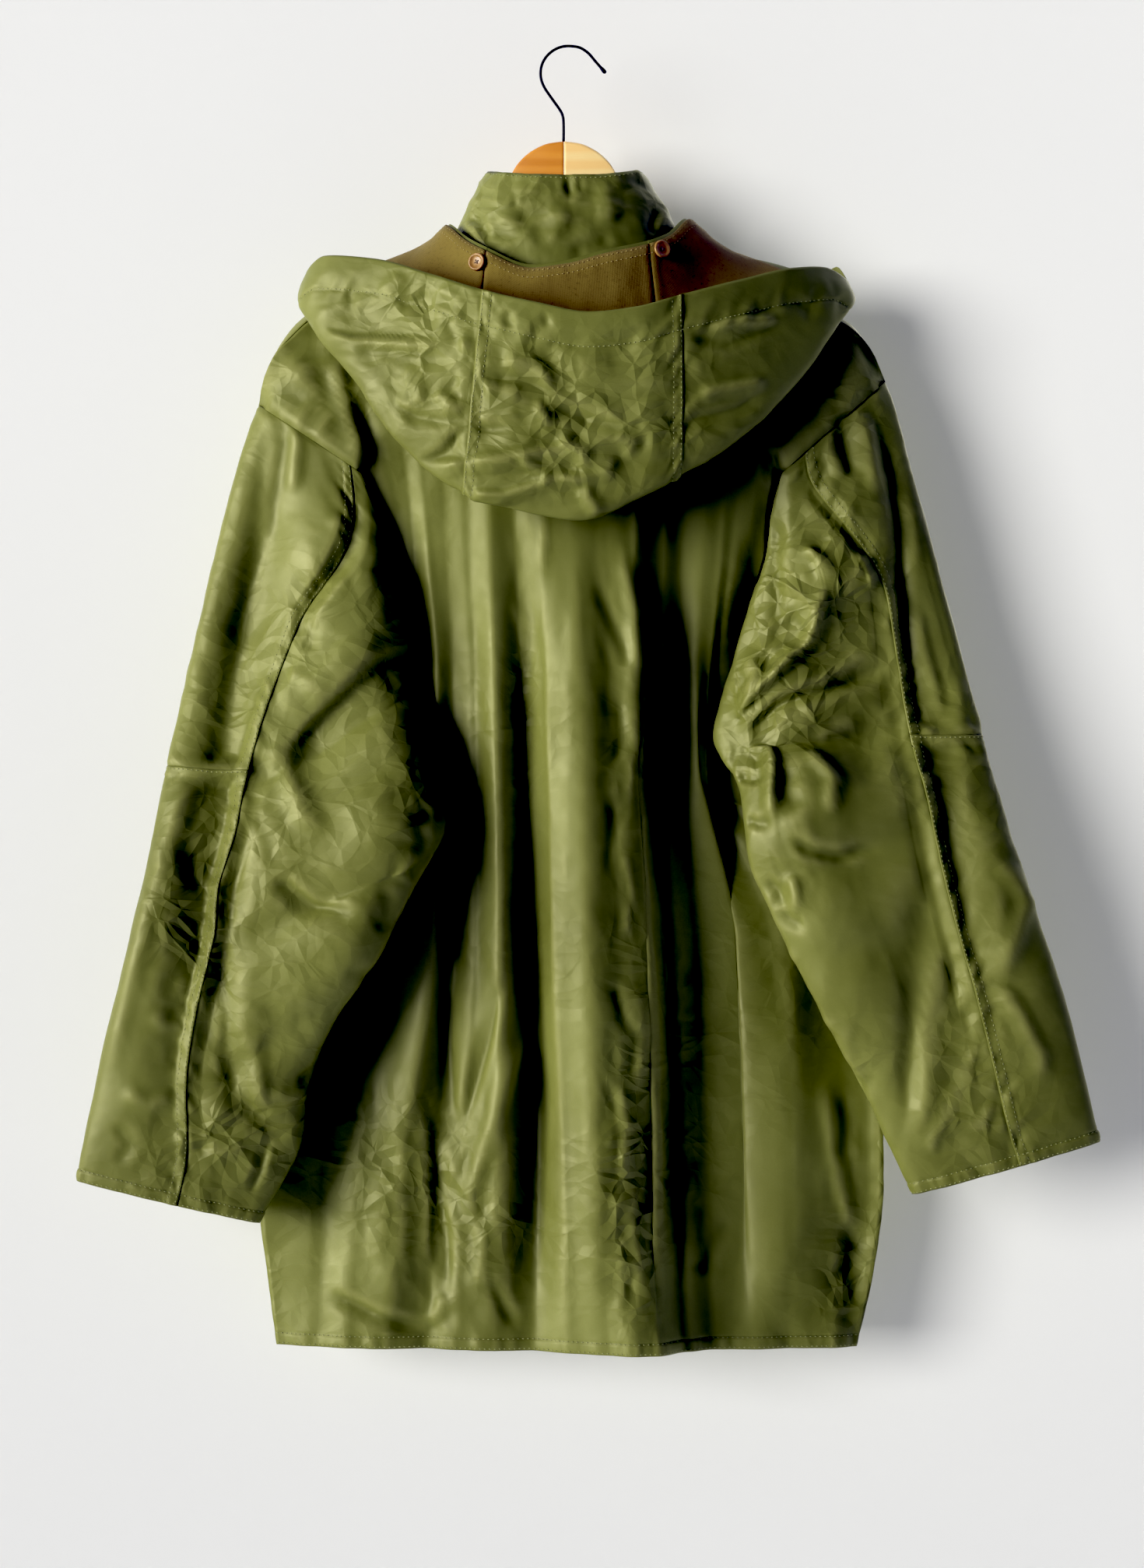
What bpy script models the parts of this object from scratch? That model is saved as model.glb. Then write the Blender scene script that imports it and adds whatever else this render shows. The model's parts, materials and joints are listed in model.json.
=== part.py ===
"""Hooded parka on a wooden hanger, seen from the back.

Millimetres. The origin is the inner top of the hanger's wire hook. +Z up,
-Y the garment's back, +Y its front, +X the wearer's right.
Every cloth piece is a surface worked out from section tables, given its own
wall thickness, and stopped short of its neighbours at the seams.
"""
import math
import bpy
import numpy as np
from mathutils import Matrix

MM = 0.001
WALL = 1.2            # shell cloth, two plies and a coating
LINING_WALL = 1.0
COLLAR_WALL = 2.4     # folded stand
SEAM = 0.35           # half the gap between pieces that meet flat
CORNER = 0.9          # half the gap between pieces that meet at an angle
FACE = 0.85           # half the gap between faces that lie on each other

for ob in list(bpy.data.objects):
    bpy.data.objects.remove(ob, do_unlink=True)

PARKA = bpy.data.collections.new("hooded_parka")
bpy.context.scene.collection.children.link(PARKA)


# ------------------------------------------------------------------ helpers
def spline(t, T, V):
    """Monotone cubic through (T, V); t any array."""
    T = np.asarray(T, float)
    V = np.asarray(V, float)
    t = np.clip(np.asarray(t, float), T[0], T[-1])
    h = np.diff(T)
    d = np.diff(V) / h
    m = np.zeros(len(T))
    if len(T) > 2:
        for i in range(1, len(T) - 1):
            if d[i - 1] * d[i] > 0:
                w1 = 2 * h[i] + h[i - 1]
                w2 = h[i] + 2 * h[i - 1]
                m[i] = (w1 + w2) / (w1 / d[i - 1] + w2 / d[i])
    m[0] = d[0]
    m[-1] = d[-1]
    i = np.clip(np.searchsorted(T, t, side="right") - 1, 0, len(T) - 2)
    s = (t - T[i]) / h[i]
    return ((1 + 2 * s) * (1 - s) ** 2 * V[i] + s * (1 - s) ** 2 * h[i] * m[i]
            + s * s * (3 - 2 * s) * V[i + 1] + s * s * (s - 1) * h[i] * m[i + 1])


def table(names, rows):
    a = np.array([list(r) for r in rows], float)
    return {n: a[:, k] for k, n in enumerate(names.split())}


def at(tab, key, t, col):
    return spline(t, tab[key], tab[col])


def smooth(f):
    f = np.clip(f, 0, 1)
    return f * f * (3 - 2 * f)


# ------------------------------------------------------------------ sleeves
# one row per ring: edges of the sleeve as it hangs (outer x z y, inner x z y),
# how far its back and front faces stand out, and where the back seam runs
# (as a part of half a turn from the outer edge)
RING = "r xo zo yo xi zi yi back front seam"
SLEEVE = {
    "left": table(RING, [
        (0, -244.8, -281.5, -2, -157.2, -340.1, -26, 15, 31, 0.73),
        (1, -258.9, -323.0, -4, -148.5, -375.8, -18, 20, 31, 0.66),
        (2, -274.3, -384.2, -8, -136.1, -420.9, -12, 25, 29, 0.56),
        (3, -288.5, -445.2, -12, -128.4, -472.4, -7, 28, 25, 0.48),
        (4, -301.3, -503.1, -18, -123.8, -512.1, -14, 28, 19, 0.43),
        (5, -310.9, -554.7, -30, -109.9, -563.8, -30, 26, 15, 0.38),
        (6, -319.2, -599.9, -42, -100.9, -605.9, -44, 24, 15, 0.36),
        (7, -327.8, -644.9, -46, -127.2, -650.8, -48, 24, 17, 0.36),
        (8, -338.3, -692.8, -48, -150.6, -695.8, -48, 24, 18, 0.395),
        (9, -351.8, -747.0, -46, -181.2, -748.0, -48, 23, 18, 0.42),
        (10, -364.9, -801.3, -42, -201.8, -804.1, -44, 21, 17, 0.45),
        (11, -375.6, -849.8, -38, -210.5, -855.6, -40, 19, 16, 0.49),
        (12, -381.6, -883.9, -34, -241.0, -916.2, -36, 17, 15, 0.53)]),
    "right": table(RING, [
        (0, 246.3, -263.1, -2, 158.4, -341.3, -26, 15, 31, 0.65),
        (1, 259.5, -307.8, -4, 155.8, -363.7, -18, 20, 31, 0.525),
        (2, 275.6, -366.0, -8, 153.1, -396.6, -12, 25, 29, 0.43),
        (3, 292.2, -430.1, -12, 141.1, -435.9, -8, 28, 25, 0.375),
        (4, 306.7, -487.9, -18, 128.3, -484.7, -10, 28, 21, 0.365),
        (5, 319.0, -539.6, -28, 112.2, -539.4, -16, 26, 16, 0.35),
        (6, 331.5, -587.9, -40, 130.7, -577.7, -36, 24, 15, 0.36),
        (7, 345.8, -635.9, -46, 140.4, -632.9, -48, 24, 17, 0.37),
        (8, 363.6, -692.8, -48, 160.8, -677.8, -48, 24, 18, 0.39),
        (9, 380.6, -744.0, -46, 186.7, -725.9, -46, 23, 18, 0.41),
        (10, 394.4, -795.3, -42, 215.2, -784.5, -42, 21, 17, 0.43),
        (11, 403.4, -834.7, -38, 241.4, -846.8, -38, 19, 16, 0.445),
        (12, 408.1, -853.8, -34, 264.7, -894.2, -34, 17, 15, 0.455)])}
# armhole: which ring it lies on, by half turns round from the outer edge
ARMHOLE = {
    "left": table("turn ring", [(0, 0), (0.84, 0), (0.90, 0.4), (0.95, 0.9), (1.0, 1.5), (1.06, 2.3), (1.12, 2.9),
                                (1.18, 3.35), (1.28, 2.8), (1.40, 2.0), (1.55, 1.2), (1.72, 0.6), (1.88, 0.2),
                                (2.0, 0)]),
    "right": table("turn ring", [(0, 0), (0.84, 0), (0.90, 0.5), (0.95, 1.2), (1.0, 2.1), (1.06, 3.1), (1.12, 3.8),
                                 (1.18, 4.2), (1.30, 3.6), (1.42, 2.7), (1.55, 1.8), (1.72, 0.8), (1.88, 0.25),
                                 (2.0, 0)])}
ELBOW = {"left": 5.2, "right": 5.0}
# large creases: ring and turn at each end, depth (in is minus), width in rings
CREASE = {
    "left": [(3.6, 0.98, 5.3, 0.42, -9, 0.33), (3.0, 0.95, 4.4, 0.35, 5, 0.4), (6.3, 0.98, 8.0, 0.5, -6, 0.4),
             (6.9, 0.35, 6.2, 0.0, -5, 0.35), (8.6, 0.98, 9.9, 0.55, -4, 0.35), (1.6, 0.9, 2.9, 0.3, -4, 0.4),
             (4.2, 1.3, 6.0, 1.8, -5, 0.4), (7.0, 1.2, 8.3, 1.7, -4, 0.4)],
    "right": [(5.6, 0.98, 5.0, 0.4, -8, 0.33), (6.7, 0.96, 5.9, 0.35, 5, 0.4), (7.5, 0.98, 6.9, 0.45, -5, 0.35),
              (3.4, 0.9, 4.4, 0.3, -5, 0.4), (8.8, 0.96, 8.2, 0.5, -4, 0.35), (1.5, 0.9, 2.6, 0.35, -4, 0.4),
              (4.4, 1.3, 6.0, 1.8, -5, 0.4), (7.0, 1.2, 8.3, 1.7, -4, 0.4)]}


def tube(side, r, turn):
    """Point on the sleeve: ring r (0 shoulder .. 12 cuff), turn in half turns."""
    tab = SLEEVE[side]
    g = {c: at(tab, "r", r, c) for c in RING.split()[1:]}
    phi = np.asarray(turn, float) * math.pi
    s, c = np.sin(phi), np.cos(phi)
    f = (1 - c) / 2
    puff = np.where(s > 0, -g["back"], g["front"]) * np.abs(s) ** 0.85
    for r1, t1, r2, t2, depth, wide in CREASE[side]:
        along = np.clip((np.asarray(turn) - t1) / (t2 - t1), -0.3, 1.3)
        off = (r - (r1 + (r2 - r1) * along)) / wide
        fade = smooth((along + 0.3) / 0.35) * smooth((1.3 - along) / 0.5)
        puff = puff - depth * np.exp(-off * off) * fade * np.abs(s) ** 1.1 * np.sign(s)
    x = g["xo"] + (g["xi"] - g["xo"]) * f
    z = g["zo"] + (g["zi"] - g["zo"]) * f
    y = g["yo"] + (g["yi"] - g["yo"]) * f + puff
    return np.stack([x, y, z], -1)


BLEND = 7.0            # rings above this one lean towards the armhole


def stations(side, which):
    top = np.linspace(0, ELBOW[side], 8)
    low = np.concatenate([[ELBOW[side]], np.arange(6, 13)])
    return {"outer_upper": top, "outer_lower": low, "under": np.concatenate([top, low[1:]])}[which]


OUTER_TURNS = [-0.5, -0.32, -0.15, 0.0, 0.2, 0.4, 0.56]           # and the back seam
UNDER_TURNS = [0.80, 0.87, 0.93, 0.99, 1.05, 1.11, 1.18, 1.26, 1.34, 1.42, 1.5]


def columns(side, which):
    """Where a piece's columns start on the armhole, as parts of its width."""
    top = SLEEVE[side]["seam"][0]
    if which == "under":
        return (np.array([top] + UNDER_TURNS) - top) / (1.5 - top)
    return (np.array(OUTER_TURNS + [top]) + 0.5) / (top + 0.5)


def sleeve_piece(side, which, rings, cols):
    """A sleeve piece over the given rings; every column starts on the armhole."""
    tab = SLEEVE[side]
    base, w = np.broadcast_arrays(np.asarray(rings, float)[:, None], np.asarray(cols, float)[None, :])
    r = base.copy()
    for _ in range(40):
        seam = at(tab, "r", r, "seam")
        turn = seam + (1.5 - seam) * w if which == "under" else -0.5 + (seam + 0.5) * w
        top = tab["seam"][0]
        turn0 = top + (1.5 - top) * w if which == "under" else -0.5 + (top + 0.5) * w
        hole = spline(np.mod(turn0, 2.0), ARMHOLE[side]["turn"], ARMHOLE[side]["ring"])
        r = np.where(base < BLEND, hole + (BLEND - hole) * base / BLEND, base)
        ease = smooth(base / 3.0)
        turn = turn0 * (1 - ease) + turn * ease
    return tube(side, r, np.mod(turn, 2.0))


# ------------------------------------------------------------------- body
P_TURN = 1.18          # where the underarm point lies round the sleeve
# side seam below the armhole: v down the panel, x y z
SIDE = {
    "left": table("v x y z", [(0.26, 0, 0, 0), (0.30, -146, 9, -516), (0.34, -176, 14, -548), (0.40, -208, 14, -600),
                              (0.46, -226, 12, -652), (0.52, -236, 10, -700), (0.68, -244, 7, -806),
                              (0.82, -246, 5, -898), (0.92, -239, 5, -962), (1.0, -231.7, 5, -1016.5)]),
    "right": table("v x y z", [(0.26, 0, 0, 0), (0.30, 138, 9, -573), (0.34, 166, 14, -600), (0.40, 196, 14, -640),
                               (0.46, 218, 12, -676), (0.52, 234, 10, -716), (0.68, 246, 7, -812),
                               (0.82, 246, 5, -892), (0.92, 238, 5, -960), (1.0, 224.5, 5, -1018.0)])}


def armhole(side, turn):
    ring = spline(turn, ARMHOLE[side]["turn"], ARMHOLE[side]["ring"])
    return tube(side, ring, turn)


for _s in SIDE:
    _p = armhole(_s, np.array([P_TURN]))[0]
    for _k, _n in enumerate("xyz"):
        SIDE[_s][_n][0] = _p[_k]


# rows of the panels down to the underarm point, level with the sleeve's columns
BACK_V = [0, 0.03, 0.06, 0.09, 0.105, 0.12, 0.135, 0.15, 0.17, 0.19, 0.22, 0.26]
FRONT_V = [0, 0.02, 0.04, 0.075, 0.12, 0.17, 0.22, 0.26]


def body_edge(side, v, face):
    """Outer boundary of a body panel, v = 0 at the shoulder end."""
    v = np.asarray(v, float)
    if face == "back":
        turn = spline(v, BACK_V, [0, 0.2, 0.4, 0.56, SLEEVE[side]["seam"][0]] + UNDER_TURNS[:7])
    else:
        turn = spline(v, FRONT_V, [2.0, 1.95, 1.90, 1.85, 1.68, 1.5, 1.34, 1.18])
    hole = armhole(side, turn)
    low = np.stack([at(SIDE[side], "v", np.maximum(v, 0.26), c) for c in "xyz"], -1)
    edge = np.where((v < 0.26)[..., None], hole, low)
    if face == "back":
        edge[..., 1] += spline(v, [0, 0.11, 0.15, 0.26, 0.30, 0.35, 1], [-FACE, -FACE, 2.4, 3.2, 1.6, -FACE, -FACE])
    else:
        edge[..., 1] += spline(v, [0, 0.10, 0.20, 0.26, 0.30, 0.36, 1], [FACE, FACE, 3.5, 9.5, 7.0, FACE, FACE])
    return edge


def inner_edge(side, z):
    """Fold edge of a sleeve on the body's side at height z: x and y."""
    tab = SLEEVE[side]
    zi, xi, yi = tab["zi"][::-1], tab["xi"][::-1], tab["yi"][::-1]
    return spline(z, zi, xi), spline(z, zi, yi)


# shoulder seam and neck line, left to right: x y z of the back, and how far
# the ridge of the shoulder stands above the seam
TOP = table("x y z lift", [
    (-244.8, -2, -281.5, 0), (-240, -5, -262, 6), (-232, -8, -242, 9), (-220, -10, -229, 10), (-204, -10, -214, 9),
    (-180, -9, -201, 7), (-150, -8, -188, 6), (-120, -7, -172, 5), (-98, -8, -161, 3), (-89, -20, -164, 0),
    (-68, -36, -173, 0), (-40, -46, -182, 0), (-3, -49, -186, 0), (34, -46, -180, 0), (60, -36, -171, 0),
    (81, -20, -161, 0), (91, -8, -157, 3), (114, -7, -168, 5), (146, -8, -186, 6), (178, -9, -200, 7),
    (206, -10, -214, 8), (224, -10, -226, 8), (236, -7, -240, 6), (246.3, -2, -263.1, 0)])
# the back's standing folds, left to right: x at the seam, yoke, armhole, waist,
# seat and hem, then how far each stands out (y) at yoke .. hem
FOLDS = table("x0 x1 x2 x3 x4 x5 y1 y2 y3 y4 y5", [
    (-216, -150, -126, -178, -196, -200, -26, 0, 6, 0, -8),
    (-188, -136, -116, -142, -164, -174, -27, -6, -2, -14, -16),
    (-160, -122, -104, -108, -134, -146, -30, -22, -26, -24, -20),
    (-132, -106, -93, -92, -106, -112, -33, -18, -14, -12, -14),
    (-104, -88, -76, -74, -84, -88, -36, -26, -26, -22, -24),
    (-84, -66, -60, -56, -58, -60, -40, -38, -40, -30, -28),
    (-60, -48, -40, -34, -28, -30, -41, -24, -18, -16, -24),
    (-34, -24, -20, -14, -4, 0, -44, -44, -44, -40, -40),
    (-6, 2, 6, 12, 22, 26, -45, -48, -50, -50, -48),
    (22, 26, 30, 38, 42, 46, -45, -43, -46, -50, -56),
    (48, 48, 52, 64, 70, 66, -43, -44, -47, -48, -54),
    (72, 70, 70, 80, 86, 90, -38, -18, -14, -18, -30),
    (100, 90, 84, 98, 104, 110, -34, -4, -2, -10, -16),
    (130, 108, 98, 130, 136, 142, -31, -12, -16, -22, -16),
    (160, 126, 108, 160, 172, 172, -29, -8, 0, -8, -8),
    (192, 142, 114, 196, 206, 204, -27, -2, 7, -6, -6)])
STATIONS = [0, 0.12, 0.26, 0.50, 0.80, 1.0]


def fold_column(k, v):
    """x and y of fold line k at v (arrays alike)."""
    k = np.asarray(k, int)
    n = len(FOLDS["x0"])
    xs = np.zeros(v.shape)
    ys = np.zeros(v.shape)
    for j in range(n):
        m = k == j
        if not m.any():
            continue
        x = [FOLDS["x%d" % i][j] for i in range(6)]
        y = [spline(x[0], TOP["x"], TOP["y"])] + [FOLDS["y%d" % i][j] for i in range(1, 6)]
        xs[m] = spline(v[m], STATIONS, x)
        ys[m] = spline(v[m], STATIONS, y)
    return xs, ys


def drape_z(f, v, left, right, x_top):
    """Height of a row: level below the armholes, lifted to the top line above."""
    zl, zr = TOP["z"][0], TOP["z"][-1]
    fade = np.clip(1 - v / 0.30, 0, 1) ** 1.45
    lift = spline(x_top, TOP["x"], TOP["z"]) - (zl + (zr - zl) * f)
    return left[..., 2] + (right[..., 2] - left[..., 2]) * f + lift * fade


def back_grid(v, c):
    """Back panel. v down, c across in fold-line units (0 .. folds + 1)."""
    v, c = np.broadcast_arrays(v, c)
    n = len(FOLDS["x0"])
    left, right = body_edge("left", v, "back"), body_edge("right", v, "back")
    k0 = np.clip(np.floor(c).astype(int), 0, n)
    f = c - k0
    xa, ya = fold_column(np.clip(k0 - 1, 0, n - 1), v)
    xb, yb = fold_column(np.clip(k0, 0, n - 1), v)
    xa, ya = np.where(k0 == 0, left[..., 0], xa), np.where(k0 == 0, left[..., 1], ya)
    xb, yb = np.where(k0 == n, right[..., 0], xb), np.where(k0 == n, right[..., 1], yb)
    x = xa + (xb - xa) * f
    y = ya + (yb - ya) * (0.7 * smooth(f) + 0.3 * f)
    xt0 = np.concatenate([[TOP["x"][0]], FOLDS["x0"], [TOP["x"][-1]]])
    x_top = xt0[k0] + (xt0[k0 + 1] - xt0[k0]) * f
    part = (x - left[..., 0]) / (right[..., 0] - left[..., 0])
    z = drape_z(part, v, left, right, x_top)
    on_top = smooth(1 - v / 0.03)
    y = y * (1 - on_top) + on_top * (spline(x_top, TOP["x"], TOP["y"]) - FACE)
    # tuck the panel behind the sleeves' fold edges
    for side, sg in (("left", -1), ("right", 1)):
        xe, ye = inner_edge(side, z)
        near = smooth(1 - (xe - x) * sg / 16) * smooth((v - 0.115) / 0.03) * (z > SLEEVE[side]["zi"][5])
        under = np.clip(-(xe - x) * sg, 0, 40) / 170
        low = ye + 3.5 + 23 * (2 * np.sqrt(under)) ** 0.85
        y = np.where(y < low, y + (low - y) * near, y)
    return np.stack([x, y, z], -1)


CENTRE_X = -3.0
# neck line of the front, from the neck's side to the middle: part across, x y z
NECK_FRONT = table("f x y z", [(0, 0.94, -6, -160), (0.35, 0.78, 27, -160.5), (0.7, 0.42, 46, -170), (1.0, 0.0, 52, -177)])
FRONT_Y = table("c near mid low hem", [(0, 0, 0, 0, 0), (0.15, 17, 16, 15, 13), (0.35, 25, 22, 24, 20),
                                       (0.6, 33, 29, 27, 30), (0.8, 30, 32, 33, 26), (1.0, 34, 34, 33, 31)])


def front_grid(side, v, c):
    """Front panel. v down, c from the side (0) to the middle (1)."""
    v, c = np.broadcast_arrays(v, c)
    sg = -1 if side == "left" else 1
    edge = body_edge(side, v, "front")
    # top line: the shoulder seam up to c = 0.62, then the neck
    cut = 0.62
    half = 95.0 if side == "left" else 88.0
    x_end = TOP["x"][0] if side == "left" else TOP["x"][-1]
    x_s = x_end + (sg * half - x_end) * np.clip(c / cut, 0, 1)
    q = np.clip((c - cut) / (1 - cut), 0, 1)
    x_n = CENTRE_X + (sg * half - CENTRE_X) * at(NECK_FRONT, "f", q, "x") / 0.94
    on_neck = c > cut
    x_t = np.where(on_neck, x_n, x_s)
    y_t = np.where(on_neck, at(NECK_FRONT, "f", q, "y"), spline(x_s, TOP["x"], TOP["y"]))
    z_t = np.where(on_neck, at(NECK_FRONT, "f", q, "z"), spline(x_s, TOP["x"], TOP["z"]))
    lift = np.where(on_neck, 2 * (1 - q) ** 2, spline(x_s, TOP["x"], TOP["lift"]))
    # over the ridge: down the panel, forward and up
    wrap = spline(v, [0, 0.02, 0.04, 0.075, 0.14], [0, 0.42, 0.82, 0.95, 1.0])
    hump = spline(v, [0, 0.02, 0.04, 0.075], [0, 1, 0.75, 0])
    body_y = np.zeros(v.shape)
    for i, (a, b) in enumerate([("near", "mid"), ("mid", "low"), ("low", "hem")]):
        lo, hi = [(0.16, 0.5), (0.5, 0.8), (0.8, 1.0)][i]
        m = (v >= lo) if i else np.ones(v.shape, bool)
        f = np.clip((v - lo) / (hi - lo), 0, 1)
        val = at(FRONT_Y, "c", c, a) * (1 - smooth(f)) + at(FRONT_Y, "c", c, b) * smooth(f)
        body_y = np.where(m, val, body_y)
    body_y = body_y + edge[..., 1] * (1 - smooth(c / 0.5))
    mix = smooth(np.minimum(v / 0.26, 1)) ** 0.8
    x = x_t * (1 - mix) + (edge[..., 0] + (CENTRE_X - edge[..., 0]) * c ** (1.0 - 0.25 * (1 - mix))) * mix
    x = np.where(c <= 0, edge[..., 0], x)
    other = body_edge("right" if side == "left" else "left", v, "front")
    z_low = edge[..., 2] + 0.5 * (other[..., 2] - edge[..., 2]) * c
    over = smooth((0.72 - c) / 0.1)
    late = np.maximum(v - 0.035 * over, 0) / (1 - 0.035 * over)
    fade = np.clip(1 - late / 0.30, 0, 1) ** 1.45
    z0 = TOP["z"][0] if side == "left" else TOP["z"][-1]
    z1 = 0.5 * (TOP["z"][0] + TOP["z"][-1])
    z = z_low + (z_t - (z0 + (z1 - z0) * c)) * fade + (lift + 2) * hump * smooth(c / 0.12) * over
    y = (y_t + FACE) * (1 - wrap) + body_y * wrap
    y = np.where(c <= 0, edge[..., 1], y)
    z = np.where(c <= 0, edge[..., 2], z)
    return np.stack([x, y, z], -1)


# -------------------------------------------------------------------- hood
# one row per section: neck edge, lowest line and opening edge, each x y z,
# then y of the inner side and how far the inner side is held up
HOOD = table("t nx ny nz bx by bz ox oy oz yin up", [
    (-1.0, -26, 60, -180, -38, 70, -222, -44, 84, -192, 60, 0),
    (-0.91, -64, 50, -168, -132, 60, -226, -146, 70, -192, 50, 0),
    (-0.87, -76, 43, -161, -176, 40, -206, -186, 44, -178, 34, 6),
    (-0.83, -85, 35, -156, -197, 12, -190, -203, 14, -168, 20, 10),
    (-0.8, -90, 30, -152, -203, -8, -201, -205.8, -6, -177.1, 6, 14),
    (-0.72, -98, 10, -144, -192.7, -28, -228.5, -191.4, -30, -167.8, -16, 17),
    (-0.6, -94.8, -14, -140.9, -167.6, -46, -262.3, -152.2, -52, -172.7, -38, 11),
    (-0.45, -79.6, -38, -154.5, -127.7, -64, -319.2, -106.4, -74, -187.7, -50, 0),
    (-0.3, -64.2, -50, -164, -82, -76, -355.3, -66.8, -90, -201.7, -58, 0),
    (-0.15, -31, -58, -178, -40.9, -82, -368.3, -25.9, -98, -212.2, -64, 0),
    (0.0, -5.4, -60, -175.1, 6.5, -82, -375.4, 13.6, -100, -219.6, -65, 0),
    (0.15, 25, -58, -167, 57, -82, -355.2, 47.8, -98, -215.8, -64, 0),
    (0.3, 58.8, -50, -158.6, 82, -76, -341.7, 83.4, -90, -205.3, -58, 0),
    (0.45, 74.8, -38, -150.8, 131.9, -64, -307.8, 128.4, -74, -191.9, -50, 0),
    (0.6, 89.3, -14, -136.6, 171.8, -46, -265.3, 171.3, -52, -179.9, -38, 11),
    (0.72, 98, 8, -145, 198.2, -28, -225.5, 196.8, -30, -176.8, -16, 14),
    (0.8, 84, 30, -150, 209, -8, -201, 215.5, -6, -184.4, 6, 14),
    (0.83, 79, 35, -156, 200, 12, -190, 208, 14, -170, 20, 10),
    (0.87, 70, 43, -161, 178, 40, -206, 190, 44, -180, 34, 6),
    (0.91, 58, 50, -168, 132, 60, -226, 150, 70, -192, 50, 0),
    (1.0, 20, 60, -180, 32, 70, -222, 38, 84, -192, 60, 0)])
HOOD_SEAM = 0.3
LINED = 0.78            # the lining ends where the hood goes over the shoulders


def hood_point(t, s):
    """Hood surface: t round the neck, s from the neck edge over the bag's
    lowest line (0.5) to the opening edge (1)."""
    t, s = np.broadcast_arrays(t, s)
    g = {c: at(HOOD, "t", t, c) for c in "nx ny nz bx by bz ox oy oz yin up".split()}
    out = []
    for a in "xyz":
        n, b, o = g["n" + a], g["b" + a], g["o" + a]
        p1 = p2 = (8 * b - n - o) / 6
        if a == "y":
            back = smooth((0.85 - np.abs(t)) / 0.2)
            p1 = p1 * (1 - back) + g["yin"] * back
            p2 = (8 * b - n - o) / 3 - p1
        q = 1 - s
        p = n * q ** 3 + 3 * p1 * q * q * s + 3 * p2 * q * s * s + o * s ** 3
        if a == "z":
            p = p + g["up"] * np.sin(np.pi * np.clip(s / 0.55, 0, 1))
        out.append(p)
    return np.stack(out, -1)


def hood_piece(which, s_rows, cols, off=0.0):
    """A hood piece; off puts the lining inside it, from the second row to the
    last but one of the same points."""
    lo, hi = {"left": (-1.0, -HOOD_SEAM), "centre": (-HOOD_SEAM, HOOD_SEAM), "right": (HOOD_SEAM, 1.0)}[which]
    s = np.asarray(s_rows, float)[:, None]
    t = np.linspace(lo, hi, cols)[None, :]
    g = hood_point(t, s)
    if off:
        g = (g + normals(g) * off)[1:-1, np.abs(t[0]) < LINED]
    return g


# ------------------------------------------------------------------ collar
# round from the middle of the back (0) to the middle of the front (1), each way
COLLAR = table("a bx by bz tx ty tz", [
    (0.0, 0.0, -51, -182, 0.0, -39, -106), (0.2, 0.42, -47.5, -177, 0.46, -37, -105),
    (0.35, 0.72, -38, -168, 0.80, -28, -102), (0.5, 0.98, -10, -155, 1.0, -6, -98), (0.62, 0.99, 14, -152, 0.97, 12, -100),
    (0.78, 0.72, 36, -160, 0.72, 30, -109), (0.9, 0.38, 49, -169, 0.38, 42, -118), (1.0, 0.045, 53, -174, 0.05, 45, -124)])
COLLAR_HALF = (91.0, 60.0)
COLLAR_MID = (-3.0, -6.0)


def collar_grid(rows, cols):
    a = np.linspace(-1, 1, cols)[None, :]
    h = np.linspace(0, 1, rows)[:, None]
    a, h = np.broadcast_arrays(a, h)
    s = np.abs(a)
    col = {c: at(COLLAR, "a", s, c) for c in "bx by bz tx ty tz".split()}
    xb = COLLAR_MID[0] + np.sign(a) * col["bx"] * COLLAR_HALF[0]
    xt = COLLAR_MID[1] + np.sign(a) * col["tx"] * COLLAR_HALF[1]
    x = xb + (xt - xb) * h ** 1.15
    y = col["by"] + (col["ty"] - col["by"]) * h
    z = col["bz"] + (col["tz"] - col["bz"]) * h
    return np.stack([x, y, z], -1)[::-1]


# --------------------------------------------------------------- cloth mesh
def normals(g):
    du = np.empty_like(g)
    dv = np.empty_like(g)
    du[:, 1:-1] = g[:, 2:] - g[:, :-2]
    du[:, 0] = g[:, 1] - g[:, 0]
    du[:, -1] = g[:, -1] - g[:, -2]
    dv[1:-1] = g[2:] - g[:-2]
    dv[0] = g[1] - g[0]
    dv[-1] = g[-1] - g[-2]
    n = np.cross(dv, du)
    ln = np.linalg.norm(n, axis=-1, keepdims=True)
    return n / np.maximum(ln, 1e-9)


def trim(g, top=0.0, bottom=0.0, first=0.0, last=0.0):
    """Pull each edge of the grid in along its own rows or columns."""
    g = g.copy()

    def pull(edge, nxt, d):
        v = nxt - edge
        ln = np.linalg.norm(v, axis=-1, keepdims=True)
        return edge + v / np.maximum(ln, 1e-6) * np.minimum(d, 0.6 * ln)
    if top:
        g[0] = pull(g[0], g[1], top)
    if bottom:
        g[-1] = pull(g[-1], g[-2], bottom)
    if first:
        g[:, 0] = pull(g[:, 0], g[:, 1], first)
    if last:
        g[:, -1] = pull(g[:, -1], g[:, -2], last)
    return g


def link(name, data, mat):
    data.materials.append(mat)
    ob = bpy.data.objects.new(name, data)
    PARKA.objects.link(ob)
    return ob


def cloth(name, g, wall, mat):
    """A piece of cloth: the open surface through the grid, made a wall by Solidify."""
    rows, cols = g.shape[:2]
    faces = [(i * cols + j, (i + 1) * cols + j, (i + 1) * cols + j + 1, i * cols + j + 1)
             for i in range(rows - 1) for j in range(cols - 1)]
    me = bpy.data.meshes.new(name)
    me.from_pydata([tuple(float(q) * MM for q in p) for p in g.reshape(-1, 3)], [], faces)
    me.shade_smooth()
    ob = link(name, me, mat)
    wall_mod = ob.modifiers.new("wall", "SOLIDIFY")
    wall_mod.thickness = wall * MM
    wall_mod.offset = 0.0
    return ob


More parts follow.
